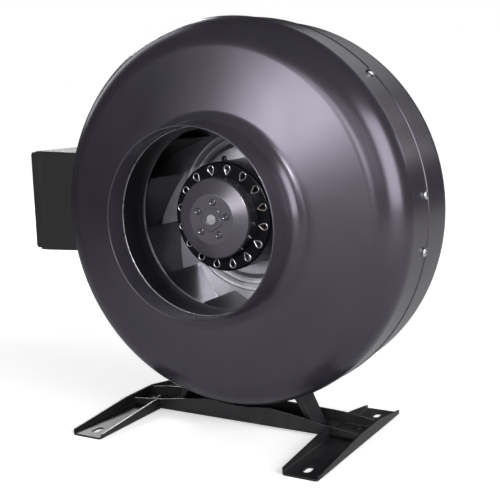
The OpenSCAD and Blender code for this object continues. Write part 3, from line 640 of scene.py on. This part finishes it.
rim_pattern = screw(*RIM_SCREW)
for piece_name, node_name, seat_r, angles in (
        ("rim_screw_set", "rim_screws", HOUSING_R + 0.05, RIM_SCREW_ANGLES),
        ("saddle_screw_set", "saddle_screws", HOUSING_R + SADDLE_T + 0.25, SADDLE_SCREW_ANGLES),
        ("box_screw_set", "box_screws", BOX_SCREW_SEAT_R, BOX_SCREW_ANGLES)):
    places = [radial_place(a, RIM_SCREW_Y, seat_r) for a in angles]
    screws(piece_name, rim_pattern, places, "housing", node_name)
bpy.data.objects.remove(rim_pattern)

support_pattern = screw(*SUPPORT_SCREW)
pad_r = sum(ARM_PAD) / 2
pad_y = TOTAL_LEN - face_y(pad_r, REAR_R) + 0.25
face_back = Matrix.Rotation(math.pi, 4, "Z")
screws("support_screw_set", support_pattern,
       [round_axis(a, pad_y) @ Matrix.Translation((pad_r, 0, 0)) @ face_back for a in ARM_ANGLES],
       "housing", "support_screws")
screws("motor_screw_set", support_pattern,
       [round_axis(a, BASE_Y + SUPPORT_T + 0.05) @ Matrix.Translation((MOTOR_SCREW_PCR, 0, 0)) @ face_back
        for a in (0, 90, 180, 270)], "housing", "motor_screws")
bpy.data.objects.remove(support_pattern)

lid_pattern = screw(*LID_SCREW)
lid_places = []
for y in (BOX_Y[0] + LID_SCREW_INSET, BOX_Y[1] - LID_SCREW_INSET):
    for side in (-1, 1):
        spot = Matrix.Translation((-BOX_REACH, y, BOX_MID_Z + side * (BOX_HALF - LID_SCREW_INSET)))
        lid_places.append(spot @ Matrix.Rotation(-math.pi / 2, 4, "Z"))
screws("lid_screw_set", lid_pattern, lid_places, "housing", "lid_screws")
bpy.data.objects.remove(lid_pattern)


# Impeller -----------------------------------------------------------------------


def shroud_side(inset):
    """The shroud's section from the eye to the rim, inset from the surface away from the flow."""
    angle = math.degrees(SHROUD_ANGLE)
    side = arc(EYE_R + SHROUD_BEND_R, SHROUD_BEND_Y, SHROUD_BEND_R - inset, 180, 180 - angle, 18)
    last = side[-1]
    slope = 1 / math.tan(SHROUD_ANGLE)
    return [(EYE_R + inset, SHROUD_Y)] + side + [(IMPELLER_R, last[1] + (IMPELLER_R - last[0]) * slope)]


flow_side = shroud_side(-SHROUD_T)
shroud_points = shroud_side(0) + flow_side[::-1]
shroud_radii = [0] * len(shroud_points)
for rim in (0, len(flow_side) - 1, len(flow_side), len(shroud_points) - 1):
    shroud_radii[rim] = 0.35
shroud = turned("impeller_shroud", rounded(shroud_points, shroud_radii, 3), 224)
settle(shroud, "rotor", "impeller_paint", SHEET_PAINT, "shroud_ring")


def plate_side(lift):
    """The back plate's surface from hub to rim, lift millimetres behind its front."""
    y = PLATE_Y - PLATE_T + lift
    points = [(CAN_R + 0.15, y - PLATE_STEP_H), (PLATE_STEP_R, y - PLATE_STEP_H), (PLATE_STEP_R + 4, y)]
    for r in PLATE_RIDGES:
        points += [(r - RIDGE_FOOT, y), (r - RIDGE_TOP, y - RIDGE_H), (r + RIDGE_TOP, y - RIDGE_H),
                   (r + RIDGE_FOOT, y)]
    # The point beyond the last ridge keeps the wide flat's shading level
    return points + [(PLATE_RIDGES[-1] + 3, y), (IMPELLER_R, y)]


plate_front = plate_side(0)
plate_points = plate_front + plate_side(PLATE_T)[::-1]
plate_radii = [0.9] * len(plate_points)
for rim in (0, len(plate_front) - 1, len(plate_front), len(plate_points) - 1):
    plate_radii[rim] = 0.35
back_plate = turned("impeller_back_plate", rounded(plate_points, plate_radii, 4), 224)
# The back plate's light metal is a painted sheen
settle(back_plate, "rotor", "impeller_paint", PLATE_SHEEN_COAT, "back_plate")


def front_edge_y(r):
    """Where the shroud's flow side is at radius r."""
    for (r0, y0), (r1, y1) in zip(flow_side, flow_side[1:]):
        if r0 <= r <= r1 and r1 > r0:
            return y0 + (y1 - y0) * (r - r0) / (r1 - r0)
    return flow_side[-1][1]


def blade(index):
    """One backward-curved blade: a curved sheet that tapers towards the rim."""
    centre = Vector((EYE_R - BLADE_ARC_R * math.cos(BLADE_INLET), BLADE_ARC_R * math.sin(BLADE_INLET)))
    start = math.atan2(-centre.y, EYE_R - centre.x)
    stations = 40
    sweep = 0.0
    while True:
        a = start + sweep
        point = centre + BLADE_ARC_R * Vector((math.cos(a), math.sin(a)))
        if point.length > IMPELLER_R - 0.6:
            break
        sweep += 0.002
    bm = bmesh.new()
    rows = []
    lip = 0.35
    for i in range(stations + 1):
        a = start + sweep * i / stations
        middle = BLADE_ARC_R - BLADE_T / 2
        hub = centre + middle * Vector((math.cos(a), math.sin(a)))
        out = Vector((math.cos(a), math.sin(a)))
        r = hub.length
        front_y = front_edge_y(max(r, EYE_R + 0.4)) + 0.08
        back_y = PLATE_Y - PLATE_T - 0.05
        half = BLADE_T / 2 * (0.55 if i in (0, stations) else 1)
        ring = []
        for side, y in ((half, front_y + lip), (half - lip * 0.5, front_y), (lip * 0.5 - half, front_y),
                        (-half, front_y + lip), (-half, back_y), (half, back_y)):
            spot = hub + out * side
            ring.append(bm.verts.new((spot.x, y, spot.y)))
        rows.append(ring)
    skin_rows(bm, rows, close_ring=False)
    bm.faces.new(rows[0])
    bm.faces.new(rows[-1][::-1])
    name = f"blade_{index + 1:02d}"
    thing = from_bmesh(f"impeller_{name}", bm)
    place(thing, round_axis(BLADE_PHASE + index * 360 / BLADES))
    return settle(thing, "rotor", "impeller_paint", SHEET_PAINT, name)


for number in range(BLADES):
    blade(number)


def ring_of(name, outline, count, pcr, phase=0):
    """The same small turned piece, its axis along Y, at places round the duct axis."""
    pattern = turned(name + "_pattern", outline, 32)
    made = []
    for i in range(count):
        spot = round_axis(phase + i * 360 / count) @ Matrix.Translation((pcr, 0, 0))
        made.append(place(copy_of(pattern), spot))
    bpy.data.objects.remove(pattern)
    return joined(name, made)


rivet_y = PLATE_Y - PLATE_STEP_H - PLATE_T
rivet_outline = [(0.001, rivet_y + 3.4), (1.5, rivet_y + 3.4), (1.5, rivet_y), (2.8, rivet_y),
                 (2.6, rivet_y - 0.6), (1.8, rivet_y - 0.95), (0.001, rivet_y - 1.0)]
settle(ring_of("plate_rivet_set", rivet_outline, PLATE_RIVETS, PLATE_RIVET_PCR),
       "rotor", "zinc", SHEET_PAINT, "plate_rivets")


# Rotor can and cap ----------------------------------------------------------------

flange_y = PLATE_Y - PLATE_STEP_H
can_inside = CAN_R - CAN_WALL
can_outline = ([(NOSE_R, NOSE_Y)] + arc(CAN_R - CAN_ROUND, NOSE_Y + CAN_ROUND, CAN_ROUND, -90, 0, 8)
               + [(CAN_R, flange_y), (CAN_FLANGE_R, flange_y), (CAN_FLANGE_R, flange_y + 1),
                  (can_inside, flange_y + 1), (can_inside, NOSE_Y + 2.6), (CAN_R - 2.6, NOSE_Y + CAN_WALL),
                  (NOSE_R, NOSE_Y + CAN_WALL)])
can_shell = turned("can_shell", rounded(can_outline, 0.25, 2), 160)


def teardrop(scale=1.0):
    """A vent's outline about its own middle, its tip towards the duct axis."""
    r = VENT_R * scale
    tip = VENT_TIP * scale
    lean = math.degrees(math.acos(r / tip))
    return arc(0, 0, r, 180 + lean, 540 - lean, 22) + [(-tip, 0)]


def turned_loop(points, distance, angle):
    """A loop moved out along X, then turned about the duct axis."""
    a = math.radians(angle)
    return [((x + distance) * math.cos(a) - z * math.sin(a), (x + distance) * math.sin(a) + z * math.cos(a))
            for x, z in points]


vent_angles = [(i + 0.5) * 360 / VENTS + VENT_TURN for i in range(VENTS)]
vent_loops = [turned_loop(rounded(teardrop(), 0.25, 2), VENT_PCR, a) for a in vent_angles]
nose = flat_plate("can_nose", [circle(NOSE_R + 0.4, count=160), circle(NOSE_HOLE_R, count=96)] + vent_loops,
                  NOSE_Y, NOSE_Y + CAN_WALL, 0.18)


def rim_bead(loop, y):
    """A thin rounded bead along a closed (x, z) loop."""
    bm = bmesh.new()
    rows = []
    count = len(loop)
    for i, (x, z) in enumerate(loop):
        last = Vector(loop[i - 1])
        after = Vector(loop[(i + 1) % count])
        along = (after - last).normalized()
        side = Vector((along.y, -along.x))
        ring = []
        for k in range(8):
            a = 2 * math.pi * k / 8
            out = side * (VENT_BEAD_R * math.cos(a))
            ring.append(bm.verts.new((x + out.x, y + VENT_BEAD_R * math.sin(a), z + out.y)))
        rows.append(ring)
    skin_rows(bm, rows)
    return from_bmesh("bead", bm)


# Light metal beads round the vents, a painted highlight on the black can
beads = []
for a in vent_angles:
    beads.append(rim_bead(turned_loop(rounded(teardrop(VENT_RIM), 0.5, 3), VENT_PCR, a), NOSE_Y - 0.05))
can = joined("rotor_can_pressing", [can_shell, nose])
settle(can, "rotor", "rotor_black", ENAMEL, "rotor_can")
settle(joined("vent_rim_set", beads), "rotor", "rotor_black", EDGE_HIGHLIGHT_METAL)

cap_inside = CAP_R - CAP_WALL
cap_points = [(SHAFT_HOLE_R, DISC_Y), (DISC_R, DISC_Y), (CAP_R - 0.9, CAP_RIM_Y - 0.3),
              (CAP_R, CAP_RIM_Y + 1.2), (CAP_R, NOSE_Y - 0.05), (cap_inside, NOSE_Y - 0.05),
              (cap_inside, CAP_RIM_Y + 1.8), (DISC_R, DISC_Y + CAP_WALL), (SHAFT_HOLE_R, DISC_Y + CAP_WALL)]
cap_shell = turned("cap_shell", rounded(cap_points, [0.3, 1.2, 0.9, 0.6, 0.3, 0.3, 0.6, 0.6, 0.2], 5), 160)


def lobed(r, depth, lobes, phase):
    """A closed loop of shallow lobes, with a hollow at the phase angle and at each lobe's width from it."""
    points = []
    count = 90
    for k in range(count):
        a = 2 * math.pi * k / count
        reach = r - depth * math.cos(lobes * (a - math.radians(phase)))
        points.append((reach * math.cos(a), reach * math.sin(a)))
    return points


boss_loop = lobed(BOSS_R, BOSS_LOBE, HUB_RIVETS, HUB_RIVET_PHASE)
boss = flat_plate("cap_boss", [boss_loop, circle(SHAFT_HOLE_R + 0.05, count=40)],
                  DISC_Y - BOSS_H, DISC_Y + 0.5, 0.6, 4)
cap = joined("hub_cap_pressing", [cap_shell, boss])
settle(cap, "rotor", "cap_grey", CAP_PAINT, "hub_cap")

hub_rivet = [(1.1, DISC_Y + 0.6), (1.1, DISC_Y - 0.6), (1.5, DISC_Y - 1.15), (2.0, DISC_Y - 1.3),
             (2.5, DISC_Y - 1.1), (2.85, DISC_Y - 0.5), (2.9, DISC_Y), (1.5, DISC_Y + 0.1),
             (1.5, DISC_Y + 8), (1.1, DISC_Y + 8)]
settle(ring_of("hub_rivet_set", hub_rivet, HUB_RIVETS, HUB_RIVET_PCR, HUB_RIVET_PHASE),
       "rotor", "cap_grey", CAP_PAINT, "hub_rivets")


# Motor support --------------------------------------------------------------------

pad_start, pad_end = ARM_PAD
seat_start, seat_end = [TOTAL_LEN - SHEET - 0.15 - face_y(r, REAR_R) for r in ARM_PAD]
base_back = BASE_Y + SUPPORT_T
arm_side = [(SUPPORT_R - 8, BASE_Y), (SUPPORT_R + 3, BASE_Y), (pad_start + 1.6, seat_start - SUPPORT_T),
            (pad_end, seat_end - SUPPORT_T), (pad_end, seat_end), (pad_start, seat_start),
            (SUPPORT_R + 1.4, base_back), (SUPPORT_R - 8, base_back)]
ring_side = [(SUPPORT_BORE_R, BASE_Y), (SUPPORT_R - 5, BASE_Y),
             (SUPPORT_R - 5, base_back), (SUPPORT_BORE_R, base_back)]
support_parts = [turned("support_ring", rounded(ring_side, 0.3, 2), 96)]
arm = flat_plate("arm", [rounded(arm_side, [0, 2.5, 4, 0.3, 0.3, 2.5, 4, 0], 6)],
                 -ARM_WIDTH / 2, ARM_WIDTH / 2, 0.35)
# The arm's (radius, y) outline was drawn in X and Z, so it is tipped over to lie along the duct
place(arm, Matrix(((1, 0, 0, 0), (0, 0, 1, 0), (0, -1, 0, 0), (0, 0, 0, 1))))
for a in ARM_ANGLES:
    support_parts.append(place(copy_of(arm), round_axis(a)))
bpy.data.objects.remove(arm)
spider = joined("motor_support_spider", support_parts)
settle(spider, "housing", "bracket_paint", BLACK_PAINT, "motor_support")


# Junction box ---------------------------------------------------------------------


def box_loop(inset, draft, radius):
    """The box's rounded (y, z) outline, drawn in by inset, and by draft at its top and bottom."""
    half = BOX_HALF - inset - draft
    low = BOX_MID_Z - half
    high = BOX_MID_Z + half
    y0 = BOX_Y[0] + inset
    y1 = BOX_Y[1] - inset
    return rounded([(y0, low), (y1, low), (y1, high), (y0, high)], radius, 5)


def box_loft(name, x_out, x_in, inset, radius):
    """A tapering block along X with rounded long edges, drawn in from the box's outside by inset."""
    bm = bmesh.new()
    rows = []
    for x, draft in ((x_out, 0), (x_in, BOX_DRAFT)):
        rows.append([bm.verts.new((x, y, z)) for y, z in box_loop(inset, draft, radius)])
    skin_rows(bm, rows, close_ring=False)
    bm.faces.new(rows[0][::-1])
    bm.faces.new(rows[1])
    return from_bmesh(name, bm)


rim_x = -(BOX_REACH - LID_T)
box = box_loft("junction_box_body", rim_x + GASKET_T, BOX_BACK_X, 0, BOX_CORNER_R)
cut(box, box_loft("cavity", rim_x - LID_STEP, BOX_FLOOR_X, BOX_WALL, 1.2))
seat = turned("seat", [(0.01, 40), (HOUSING_R + 0.1, 40), (HOUSING_R + 0.1, SEAM_Y + 0.5),
                       (REAR_R + 0.1, SEAM_Y + 0.5), (REAR_R + 0.1, 150), (0.01, 150)], 256)
cut(box, seat)
bevelled(box, 0.35, 2)
settle(box, "housing", "box_plastic", PLASTIC, "box_body")


def lid_slab(name, x0, x1, inset, radius, bevel):
    """A rounded slab of the lid, flat to X."""
    slab = flat_plate(name, [box_loop(inset, 0, radius)], x0, x1, bevel, 3)
    return place(slab, Matrix(((0, 1, 0, 0), (1, 0, 0, 0), (0, 0, 1, 0), (0, 0, 0, 1))))


lid_flange = lid_slab("lid_flange", rim_x - LID_STEP - 1, rim_x, 0, BOX_CORNER_R, 0.5)
lid_cap = lid_slab("lid_cap", -BOX_REACH, rim_x - LID_STEP, 1, 2 * BOX_CORNER_R, 1.2)
lid = cut(lid_flange, lid_cap, "UNION")
lid.name = "junction_box_lid"
for matrix in lid_places:
    hole = turned("hole", [(0.01, -3), (1.85, -3), (1.85, 20), (0.01, 20)], 24)
    cut(lid, place(hole, matrix))
settle(lid, "housing", "box_plastic", PLASTIC, "box_lid")


def gland_part(thing):
    return place(thing, Matrix.Translation((GLAND_X, 0, BOX_MID_Z)))


box_end = BOX_Y[1]
hexagon = circle(GLAND_HEX_R, count=6)
sleeve_side = [(GLAND_BORE, box_end - 5), (GLAND_R, box_end - 5),
               (GLAND_R, box_end + 9), (GLAND_BORE, box_end + 9)]
gland_body = joined("gland_body_moulding", [
    gland_part(turned("gland_sleeve", rounded(sleeve_side, 0.3, 2), 48)),
    gland_part(flat_plate("gland_hex", [rounded(hexagon, 0.8, 3), circle(GLAND_R - 1, count=48)],
                          box_end + 0.1, box_end + 5.1, 0.5)),
])
settle(gland_body, "housing", "box_plastic", PLASTIC, "gland_body")

nut_y = box_end + 5.4
dome_outline = rounded([(8.2, nut_y + 3), (10.6, nut_y + 3), (10.6, nut_y + 7.5), (7.6, nut_y + 10.8),
                        (5, nut_y + 10.8), (5, nut_y + 6.8), (8.2, nut_y + 6.8)],
                       [0, 0.3, 2.2, 0.8, 0.4, 0.2, 0.2], 5)
gland_nut = joined("gland_nut_moulding", [
    gland_part(turned("gland_dome", dome_outline, 64)),
    gland_part(flat_plate("gland_nut_hex", [rounded(hexagon, 0.8, 3), circle(GLAND_R + 0.1, count=48)],
                          nut_y, nut_y + 7, 0.6)),
])
settle(gland_nut, "housing", "box_plastic", PLASTIC, "gland_nut")


# Foot bracket -----------------------------------------------------------------------


def folded(name, stations, width, along):
    """Channel of bent sheet. stations are (place along it, left wall's height, right wall's height)."""
    bm = bmesh.new()
    rows = []
    steps = 5
    for s, left_h, right_h in stations:
        profile = []
        for side, wall_h in ((-1, left_h), (1, right_h)):
            lines = []
            for r, wall_x in ((BEND_R, width / 2), (BEND_R - BRACKET_T, width / 2 - BRACKET_T)):
                line = [(side * wall_x, wall_h)]
                for k in range(steps + 1):
                    a = math.pi / 2 * k / steps
                    line.append((side * (width / 2 - BEND_R + r * math.cos(a)), BEND_R - r * math.sin(a)))
                lines.append(line)
            profile.append(lines)
        (left_out, left_in), (right_out, right_in) = profile
        ring = left_out + right_out[::-1] + right_in + left_in[::-1]
        made = []
        for u, h in ring:
            if along == "Y":
                made.append(bm.verts.new((u, s, GROUND_Z + h)))
            else:
                made.append(bm.verts.new((s, u, GROUND_Z + h)))
        rows.append(made)
    skin_rows(bm, rows, close_ring=False)
    bm.faces.new(rows[0])
    bm.faces.new(rows[-1][::-1])
    return from_bmesh(name, bm)


foot_w = FOOT_X[1] - FOOT_X[0]
foot_mid = sum(FOOT_X) / 2


def wall_height(y):
    """Height of a foot's walls along the duct."""
    rise = WALL_HIGH - WALL_LOW
    if y < CHANNEL_Y[0] - 8:
        return WALL_LOW + rise * (y - FOOT_Y[0] - 4) / (CHANNEL_Y[0] - 12 - FOOT_Y[0])
    if y > CHANNEL_Y[1] + 1:
        return WALL_LOW + rise * (FOOT_Y[1] - 4 - y) / (FOOT_Y[1] - 5 - CHANNEL_Y[1])
    return WALL_HIGH


def slot_loop(y):
    """A fixing slot's outline, its middle at y along the foot."""
    r = SLOT_W / 2
    straight = SLOT_L / 2 - r
    return arc(foot_mid, y + straight, r, 0, 180, 12) + arc(foot_mid, y - straight, r, 180, 360, 12)


def foot(name, side, node):
    """One slotted foot with rounded corners, its inner wall open where the channel enters."""
    stations = []
    marks = [FOOT_Y[0], FOOT_Y[0] + 4, CHANNEL_Y[0] - 8, CHANNEL_Y[1] + 1, FOOT_Y[1] - 4, FOOT_Y[1]]
    for y in marks:
        h = max(wall_height(y), 3.0)
        stations.append((y, h, h))
    sheet = folded(name, stations, foot_w, "Y")
    place(sheet, Matrix.Translation((foot_mid, 0, 0)))
    x0 = FOOT_X[0] - 0.01
    x1 = FOOT_X[1] + 0.01
    plan = [(x0, FOOT_Y[0]), (x1, FOOT_Y[0]), (x1, FOOT_Y[1]), (x0, FOOT_Y[1])]
    prism = flat_plate("plan", [rounded(plan, FOOT_CORNER_R, 8), slot_loop(FOOT_Y[0] + SLOT_INSET),
                                slot_loop(FOOT_Y[1] - SLOT_INSET)], -20, 40, 0.0)
    # The plan was drawn in X and Z, so it is laid down flat
    place(prism, Matrix(((1, 0, 0, 0), (0, 0, 1, 0), (0, 1, 0, GROUND_Z), (0, 0, 0, 1))))
    tidy = bmesh.new()
    tidy.from_mesh(prism.data)
    bmesh.ops.recalc_face_normals(tidy, faces=tidy.faces)
    tidy.to_mesh(prism.data)
    tidy.free()
    cut(sheet, prism, "INTERSECT")
    cut(sheet, block(FOOT_X[0] - 2, FOOT_X[0] + BEND_R + 1, CHANNEL_Y[0] - 0.5, CHANNEL_Y[1] + 0.5,
                     GROUND_Z + BRACKET_T, GROUND_Z + 30))
    bevelled(sheet, 0.3, 2, 50)
    if side < 0:
        mirrored(sheet)
    return settle(sheet, "housing", "bracket_paint", BLACK_PAINT, node)


foot("right_foot_pressing", 1, "right_foot")
foot("left_foot_pressing", -1, "left_foot")


def edge_height(edge, x):
    """Height of a channel wall at a distance from the middle."""
    x = abs(x)
    for (x1, h1), (x0, h0) in zip(edge, edge[1:]):
        if x0 <= x <= x1:
            return h0 + (h1 - h0) * (x - x0) / (x1 - x0)
    return edge[0][1]


channel_marks = sorted({side * x for edge in (FRONT_WALL, BACK_WALL) for x, _ in edge for side in (-1, 1)})
channel_mid = sum(CHANNEL_Y) / 2
channel = folded("cross_channel_pressing",
                 [(x, edge_height(FRONT_WALL, x), edge_height(BACK_WALL, x)) for x in channel_marks],
                 CHANNEL_Y[1] - CHANNEL_Y[0], "X")
place(channel, Matrix.Translation((0, channel_mid, BRACKET_T)))
bevelled(channel, 0.3, 2, 50)
settle(channel, "housing", "bracket_paint", BLACK_PAINT, "cross_channel")

pad_z = GROUND_Z + 2 * BRACKET_T + 0.05
saddle_r = HOUSING_R + 0.2


def saddle(name, side, node):
    """Pad on the channel, leaning leg and curved seat, bent from one strip."""
    heel_x, toe_x = SADDLE_PAD_X
    arc_start, arc_end = SADDLE_ARC
    points = ([(toe_x, pad_z), (toe_x, pad_z + SADDLE_T), (SADDLE_BEND_X, pad_z + SADDLE_T), SADDLE_KNEE]
              + arc(0, 0, saddle_r, arc_start, arc_end, 12)[::-1]
              + arc(0, 0, saddle_r + SADDLE_T, arc_start, arc_end - 2.1, 8)
              + [(heel_x, pad_z)])
    radii = [0.3, 0.3, 2.0] + [0] * (len(points) - 4) + [2.4]
    strip = flat_plate(name, [rounded(points, radii, 6)],
                       channel_mid - SADDLE_W / 2, channel_mid + SADDLE_W / 2, 0.25)
    if side < 0:
        mirrored(strip)
    return settle(strip, "housing", "bracket_paint", BLACK_PAINT, node)


saddle("right_saddle_strip", 1, "right_saddle")
saddle("left_saddle_strip", -1, "left_saddle")

rivets = []
head = turned("rivet_head", [(0.001, 0), (3.6, 0), (3.4, 0.5), (2.6, 1.1), (1.4, 1.4), (0.001, 1.45)], 32)
place(head, Matrix.Rotation(math.pi / 2, 4, "X"))
for x in (-foot_mid, foot_mid):
    for y in (CHANNEL_Y[0] + 7, CHANNEL_Y[1] - 7):
        rivets.append(place(copy_of(head), Matrix.Translation((x, y, pad_z))))
bpy.data.objects.remove(head)
settle(joined("bracket_rivet_set", rivets), "housing", "bracket_paint", BLACK_PAINT, "bracket_rivets")


# Studio ---------------------------------------------------------------------------


FLOOR_GLOW = 0.5
# Painted shade: in what the fan reflects, the floor's colour darkens towards the fan's left, standing in for
# a floor lit more from its right
FLOOR_BOUNCE_SHADE = (0.1, 0.7)


def backdrop():
    """A plain pale floor. The camera sees it almost white, with soft shadows near the fan; in what the fan
    reflects, its colour is painted darker towards the fan's left.
    """
    bm = bmesh.new()
    bmesh.ops.create_grid(bm, x_segments=1, y_segments=1, size=40)
    mesh = bpy.data.meshes.new("floor")
    bm.to_mesh(mesh)
    bm.free()
    floor = add_object("floor", mesh)
    floor.location.z = GROUND_Z * MM
    pale = bpy.data.materials.new("pale floor")
    pale.use_nodes = True
    tree = pale.node_tree
    link = tree.links.new
    matte = tree.nodes["Principled BSDF"]
    matte.inputs["Base Color"].default_value = (0.9, 0.9, 0.9, 1)
    matte.inputs["Roughness"].default_value = 0.8
    matte.inputs["Specular IOR Level"].default_value = 0.1
    where = tree.nodes.new("ShaderNodeTexCoord")
    reach = tree.nodes.new("ShaderNodeVectorMath")
    reach.operation = "LENGTH"
    link(where.outputs["Object"], reach.inputs[0])
    across = tree.nodes.new("ShaderNodeSeparateXYZ")
    link(where.outputs["Object"], across.inputs["Vector"])
    faded = []
    for source, near, far, low, high in ((reach.outputs["Value"], 0.4, 1.5, FLOOR_GLOW, 1),
                                         (across.outputs["X"], -1.0, -0.3, *FLOOR_BOUNCE_SHADE)):
        fade = tree.nodes.new("ShaderNodeMapRange")
        fade.inputs["From Min"].default_value = near
        fade.inputs["From Max"].default_value = far
        fade.inputs["To Min"].default_value = low
        fade.inputs["To Max"].default_value = high
        link(source, fade.inputs["Value"])
        faded.append(fade.outputs["Result"])
    glow = tree.nodes.new("ShaderNodeEmission")
    link(faded[0], glow.inputs["Strength"])
    # For all but camera rays the floor is this diffuse, its colour a painted shade darker towards the fan's
    # left
    bounce = tree.nodes.new("ShaderNodeBsdfDiffuse")
    link(faded[1], bounce.inputs["Color"])
    both = tree.nodes.new("ShaderNodeAddShader")
    link(matte.outputs["BSDF"], both.inputs[0])
    link(glow.outputs["Emission"], both.inputs[1])
    path = tree.nodes.new("ShaderNodeLightPath")
    mix = tree.nodes.new("ShaderNodeMixShader")
    link(path.outputs["Is Camera Ray"], mix.inputs["Fac"])
    link(bounce.outputs["BSDF"], mix.inputs[1])
    link(both.outputs["Shader"], mix.inputs[2])
    link(mix.outputs["Shader"], tree.nodes["Material Output"].inputs["Surface"])
    mesh.materials.append(pale)


backdrop()


def soft_light(name, spot, size, power):
    """A rectangular soft box at a place in metres, facing the fan."""
    light = bpy.data.lights.new(name, "AREA")
    light.shape = "RECTANGLE"
    light.size, light.size_y = size
    light.energy = power
    lamp = bpy.data.objects.new(name, light)
    lamp.location = spot
    lamp.rotation_euler = (MIDDLE - spot).to_track_quat("-Z", "Y").to_euler()
    bpy.context.scene.collection.objects.link(lamp)
    return lamp


# Direction round the fan from its front, height angle, distance, size and power of each soft box
LIGHTS = {
    "right bank": (76, 21, 2.0, (1.45, 1.45), 41),
    "front low": (-19, 7, 2.0, (0.5, 0.35), 8),
    "front right low": (5, 8, 2.0, (0.4, 0.35), 3.5),
    "front high": (-4, 16, 2.0, (0.6, 0.35), 4),
    "front right": (25, 20, 2.0, (1.1, 0.9), 4.8),
    "left rim": (258, 30, 2.0, (0.5, 1.3), 5),
    "back left": (228, 28, 2.0, (0.5, 0.5), 11),
    "back right": (150, 15, 2.0, (0.35, 0.35), 0.9),
    "back corner": (158, 22.5, 2.0, (0.3, 0.3), 0.3),
    "back top": (178, 30, 2.0, (1.3, 0.4), 1.2),
}
MIDDLE = Vector((0, 0.09, -0.02))


def toward(around, height):
    """Unit vector at an angle round the fan from its front, and at a height angle, in degrees."""
    turn = math.radians(around)
    rise = math.radians(height)
    return Vector((math.sin(turn) * math.cos(rise), -math.cos(turn) * math.cos(rise), math.sin(rise)))


for lamp_name, (around, height, away, size, power) in LIGHTS.items():
    soft_light(lamp_name, MIDDLE + away * toward(around, height), size, power)


def mouth_spot(around, height, away, power):
    """A snooted lamp that shines into the inlet only."""
    light = bpy.data.lights.new("mouth spot", "SPOT")
    light.energy = power
    light.spot_size = 2 * math.atan(COLLAR_R * MM / away)
    light.spot_blend = 0.4
    light.shadow_soft_size = 0.035
    lamp = bpy.data.objects.new("mouth spot", light)
    aim = Vector((0, 0.03, 0))
    lamp.location = aim + away * toward(around, height)
    lamp.rotation_euler = (aim - lamp.location).to_track_quat("-Z", "Y").to_euler()
    bpy.context.scene.collection.objects.link(lamp)


mouth_spot(18, 20, 1.6, 125)

WORLD_FILL = 0.04


def studio_world():
    """White behind the fan, and only a dim fill on it."""
    world = bpy.data.worlds.new("studio")
    world.use_nodes = True
    tree = world.node_tree
    shown = tree.nodes["Background"]
    shown.inputs["Color"].default_value = (1, 1, 1, 1)
    shown.inputs["Strength"].default_value = 1
    dim = tree.nodes.new("ShaderNodeBackground")
    dim.inputs["Color"].default_value = (1, 1, 1, 1)
    dim.inputs["Strength"].default_value = WORLD_FILL
    path = tree.nodes.new("ShaderNodeLightPath")
    mix = tree.nodes.new("ShaderNodeMixShader")
    tree.links.new(path.outputs["Is Camera Ray"], mix.inputs["Fac"])
    tree.links.new(dim.outputs["Background"], mix.inputs[1])
    tree.links.new(shown.outputs["Background"], mix.inputs[2])
    tree.links.new(mix.outputs["Shader"], tree.nodes["World Output"].inputs["Surface"])
    bpy.context.scene.world = world


studio_world()
bpy.context.scene.view_settings.view_transform = "Standard"


# Camera ------------------------------------------------------------------------------

CAMERA_AT = (0.3899, -0.5804, 0.0940)
LENS = 68.33
AZIMUTH = 30.0511
ELEVATION = 9.27
ROLL = math.radians(-1.737)


def camera():
    """The camera, as far round and above the fan as AZIMUTH and ELEVATION say in degrees, rolled a little."""
    lens = bpy.data.cameras.new("camera")
    lens.sensor_width = 36
    lens.lens = LENS
    lens.clip_start = 0.05
    lens.clip_end = 50
    view = bpy.data.objects.new("camera", lens)
    bpy.context.scene.collection.objects.link(view)
    back = toward(AZIMUTH, ELEVATION)
    turn = math.radians(AZIMUTH)
    right = Vector((math.cos(turn), math.sin(turn), 0))
    up = back.cross(right)
    turned_right = right * math.cos(ROLL) + up * math.sin(ROLL)
    turned_up = up * math.cos(ROLL) - right * math.sin(ROLL)
    axes = Matrix((turned_right, turned_up, back)).transposed().to_4x4()
    view.matrix_world = Matrix.Translation(CAMERA_AT) @ axes
    bpy.context.scene.camera = view


camera()
